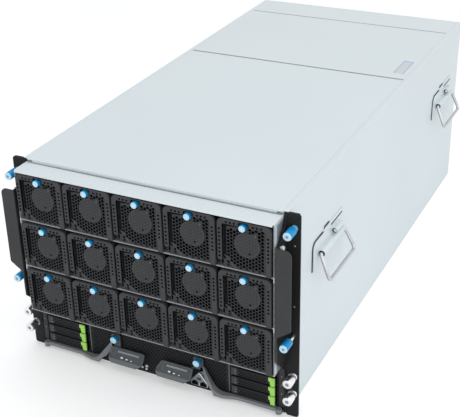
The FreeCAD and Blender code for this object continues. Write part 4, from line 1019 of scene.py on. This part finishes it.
def build_covers():
    """Bands of painted shade along the cover seams, strips in the side gaps and a blank label."""
    thin = 0.03
    put = top_view(0, RACK_Y, TOP_Z)
    for name, body, node, wide in (("rear_cover_seam", "rear_cover", "rear_top_cover", 3.2),
                                   ("rear_strip_seam", "chassis", "rear_panel", 2.4)):
        start = box_mm(node)[0].y - RACK_Y
        bm = bmesh.new()
        # Grey band of painted shade along the seam.
        slab(bm, soft(-213.4, 213.4, start, start + wide, 0.3), -thin, 0, put)
        piece(name, bm, [SEAM_SHADE], body=body)

    bm = bmesh.new()
    for side in SIDES:
        slab(bm, rect(*reach(side, 213.62, 214.1), 1.5, 914), 0.3, 1.6, put)
    piece("cover_side_strips", bm, [ZINC])

    bm = bmesh.new()
    left, right, front, middle, rear, rim = 185, 204, 576, 622, 641.6, 1.4
    fields = (rect(left + rim, right - rim, front, middle), rect(left, right, rear, 644),
              rect(left + rim, right - rim, middle, rear))
    for mat, field in enumerate(fields):
        slab(bm, field, -thin, 0, put, mat=mat)
    for x in (left, right - rim):
        slab(bm, rect(x, x + rim, front, rear), -thin, 0, put, mat=3)
    looks = [LABEL, LABEL_EDGE, LABEL_BLUE, LABEL_GREY]
    piece("cover_label", bm, looks, body="rear_cover")


# Rear

CARD_SPOTS = [(k - 3.5) * 45 for k in range(8)]
VENT_PITCH = 34


def mesh_holes(u0, u1, v0, v1, pitch, r):
    """Staggered hexagonal holes that fit inside a rectangle."""
    holes = []
    rise = pitch * HEX_RISE
    rows = int((v1 - v0 - 2 * r) / rise) + 1
    v = (v0 + v1 - (rows - 1) * rise) / 2
    for row in range(rows):
        shift = pitch / 2 if row % 2 else 0
        count = int((u1 - u0 - 2 * r - shift) / pitch) + 1
        u = (u0 + u1 - int((u1 - u0 - 2 * r) / pitch) * pitch) / 2 + shift
        holes += [circle(u + k * pitch, v + row * rise, r, 6, math.pi / 6) for k in range(count)]
    return holes


def build_rear():
    """Mesh of vents and card plates, a dark sheet on ribs behind the vents as painted shade, and screws."""
    put = rear_view(0, REAR_Y, 0)
    bm = bmesh.new()
    for row in range(2):
        for column in range(12):
            u, v = (column - 5.5) * VENT_PITCH, 122 + VENT_PITCH * row
            vent = (u - 12.9, u + 12.9, v + 0.1, v + 21.9)
            slab(bm, rect(*vent), 0.3, 1.2, put, mesh_holes(*vent, 5.4, 2.3))
    for u in CARD_SPOTS:
        plate = rect(u - 6.1, u + 6.1, 208.2, 299.8)
        slab(bm, plate, 0.5, 1.3, put, mesh_holes(u - 5, u + 5, 214, 294, 4.6, 1.8))
    piece("rear_mesh", bm, [ZINC_INNER])

    bm = bmesh.new()
    # Dark sheet behind the vents, painted shade of the inside.
    shade_sheet_w = 22
    slab(bm, soft(-204, 204, 116, 184, 4, 3), shade_sheet_w, shade_sheet_w + 1.2, put, bevel=0.4)
    for u in (-190, -63, 63, 190):
        slab(bm, soft(u - 4, u + 4, 118, 182, 1), 1.6, shade_sheet_w, put)
    piece("vent_shade_sheet", bm, [SHADE])

    bm = bmesh.new()
    panel_screw = [(2.8, 0), (2.7, -0.7), (2, -1.3), (0.9, -1.3), (0.7, -0.7), (0, -0.7)]
    card_screw = [(2.4, 0), (2.3, -0.6), (1.7, -1.1), (0.8, -1.1), (0.6, -0.6), (0, -0.6)]
    for side in SIDES:
        for z in (58, 110, 195, 312, 336):
            turn_form(bm, panel_screw, rear_view(side * 212, REAR_Y, z), 16)
    for u in CARD_SPOTS:
        turn_form(bm, card_screw, rear_view(u, REAR_Y, 309), 16)
    piece("rear_screws", bm, [STEEL])


def supply_rear(bm):
    """Rear of a supply: inlet with pins, grille, latch and lamp."""
    put = rear_view()
    low, high = box_mm("power_supply_1")
    middle = (low.z + high.z) / 2
    body, dark, metal, green, white = range(5)
    inlet = soft(10.5, 39.5, middle - 10.5, middle + 10.5, 2, 4)
    opening = soft(13, 37, middle - 8, middle + 8, [1, 1, 4, 4], 4)
    slab(bm, inlet, -1.4, 0, put, [opening], 0.5, 0.3, mat=body)
    # Near-black sheets behind the inlet and behind the slots of the grille, painted shade.
    slab(bm, rect(12.8, 37.2, middle - 8.2, middle + 8.2), 13.4, 14.8, put, mat=dark)
    for u, v in ((18.5, middle - 2.5), (25, middle + 2.5), (31.5, middle - 2.5)):
        pin = soft(u - 1, u + 1, v - 2, v + 2, 0.5)
        slab(bm, pin, 4, 13.6, put, bevel=0.4, mat=metal)
    for k in range(4):
        slot = (-5.9 - 9 * k, -0.1 - 9 * k)
        slab(bm, rect(*slot, middle - 8.4, middle + 8.4), 2.4, 2.95, put, mat=dark)
        for i in range(4):
            v = middle - 6.6 + 4 * i
            slab(bm, rect(*slot, v, v + 1.1), 0.4, 1.4, put, mat=body)
    latch = soft(-46.5, -41.5, middle + 2, middle + 12, 1, 3)
    slab(bm, latch, -1.6, 0, put, bevel=0.5, mat=green)
    turn_form(bm, [(1.4, 0), (1.4, -0.4), (0.8, -0.9), (0, -0.9)], rear_view(-44, 0, middle - 4), 14, white)


def build_supplies():
    """Finish and rear ends of the four power supplies."""
    rear = drawn("supply_rear", [MOULDING, DEEP_SHADE, STEEL, LIME, WHITE], supply_rear)
    for k in (1, 2, 3, 4):
        node = "power_supply_%d" % k
        low, high = box_mm(node)
        dress(node, CASE, 0.4)
        stand("supply_rear_%d" % k, rear, node, (), ((low.x + high.x) / 2, REAR_Y, 0))


# Studio, in metres and watts: each lamp's place, aim, width and height, and power

LAMPS = (("top_box", (0.3, 0, 3.2), (0, 0, 0.2), (3.6, 3.6), 33),
         ("right_box", (3, -0.4, 1.6), (0, 0, 0.2), (3.2, 2.4), 18.5),
         ("front_box", (0.4, -3.2, 1.5), (0, 0, 0.15), (5, 2.4), 32))
SKY_TONE, SKY_STRENGTH = (0.97, 0.985, 1, 1), 0.55
FLOOR_HALF, FLOOR_DROP = 14, 0.0004
FLOOR_TONES = ((0.93, 0.93, 0.93, 1), (0.96, 0.96, 0.96, 1))

# The floor's own light grows with the distance from the object, so that it fades into the white ground.
LIFT_NEAR, LIFT_FAR = 0.28, 0.5
LIFT_START, LIFT_END = 1.6, 5


def ray_test(tree):
    """1 for rays from the camera, off gloss and through glass."""
    path = tree.nodes.new("ShaderNodeLightPath")
    seen = maths(tree, "MAXIMUM", path.outputs["Is Camera Ray"], path.outputs["Is Glossy Ray"])
    return maths(tree, "MAXIMUM", seen, path.outputs["Is Transmission Ray"])


def build_world():
    """Soft sky for the light, and plain white where it is seen."""
    world = bpy.data.worlds.new("studio")
    bpy.context.scene.world = world
    world.use_nodes = True
    tree = world.node_tree
    tree.nodes.clear()
    sky = shader_node(tree, "ShaderNodeBackground", {"Color": SKY_TONE, "Strength": SKY_STRENGTH})
    white = shader_node(tree, "ShaderNodeBackground", {"Color": (1, 1, 1, 1), "Strength": 1})
    inputs = {0: ray_test(tree), 1: sky.outputs[0], 2: white.outputs[0]}
    mix = shader_node(tree, "ShaderNodeMixShader", inputs)
    shader_node(tree, "ShaderNodeOutputWorld", {0: mix.outputs[0]})


def floor_paint():
    """Matt white with faint clouds, lifted towards the white ground."""
    paint = bpy.data.materials.new("floor_paint")
    paint.use_nodes = True
    tree = paint.node_tree
    tree.nodes.clear()
    coord = tree.nodes.new("ShaderNodeTexCoord")
    tone = blend(tree, noise(tree, coord, 3), *FLOOR_TONES)
    matt_white = shader_node(tree, "ShaderNodeBsdfDiffuse", {"Color": tone})
    away = shader_node(tree, "ShaderNodeVectorMath", {0: coord.outputs["Object"]}, "LENGTH")
    rise = spread(tree, away.outputs["Value"], LIFT_NEAR, LIFT_FAR, LIFT_START, LIFT_END)
    lift = maths(tree, "MULTIPLY", ray_test(tree), rise)
    glow = shader_node(tree, "ShaderNodeEmission", {"Strength": lift})
    both = shader_node(tree, "ShaderNodeAddShader", {0: matt_white.outputs[0], 1: glow.outputs[0]})
    shader_node(tree, "ShaderNodeOutputMaterial", {0: both.outputs[0]})
    return paint


def build_studio():
    """White ground, floor and three soft boxes."""
    bpy.context.scene.view_settings.view_transform = "Standard"
    build_world()

    bm = bmesh.new()
    bmesh.ops.create_grid(bm, x_segments=2, y_segments=2, size=FLOOR_HALF)
    mesh = bpy.data.meshes.new("floor")
    bm.to_mesh(mesh)
    bm.free()
    mesh.materials.append(floor_paint())
    floor = added("floor", mesh)
    floor.location = (0, 0, -FLOOR_DROP)

    for name, place, aim, size, power in LAMPS:
        data = bpy.data.lights.new(name, "AREA")
        data.shape = "RECTANGLE"
        data.size, data.size_y = size
        data.energy = power
        lamp = added(name, data)
        lamp.location = place
        way = Vector(aim) - Vector(place)
        lamp.rotation_euler = way.to_track_quat("-Z", "Y").to_euler()


# Camera of the photograph: degrees, metres, and millimetres of lens and sensor

AZIMUTH, ELEVATION, ROLL = 27.47, 27.486, -1.716
EYE = (0.697494, -1.579013, 1.003830)
LENS, SENSOR = 79.473, 36
SHIFT = (0.03265, -0.01483)


def build_camera():
    """Camera fitted to the photograph."""
    az, el, roll = (math.radians(a) for a in (AZIMUTH, ELEVATION, ROLL))
    back = Vector((math.sin(az) * math.cos(el), -math.cos(az) * math.cos(el), math.sin(el)))
    level = Vector((0, 0, 1)).cross(back).normalized()
    rise = back.cross(level)
    right = level * math.cos(roll) + rise * math.sin(roll)
    up = rise * math.cos(roll) - level * math.sin(roll)
    data = bpy.data.cameras.new("photo_view")
    data.sensor_width = SENSOR
    data.lens = LENS
    data.shift_x, data.shift_y = SHIFT
    camera = added("photo_view", data)
    place = Matrix((right, up, back)).transposed().to_4x4()
    place.translation = Vector(EYE)
    camera.matrix_world = place
    bpy.context.scene.camera = camera


build_plain()
build_fans()
build_ears()
build_cage_edges()
build_screws()
build_bails()
build_drives()
build_node_front()
build_levers()
build_covers()
build_rear()
build_supplies()
build_studio()
build_camera()
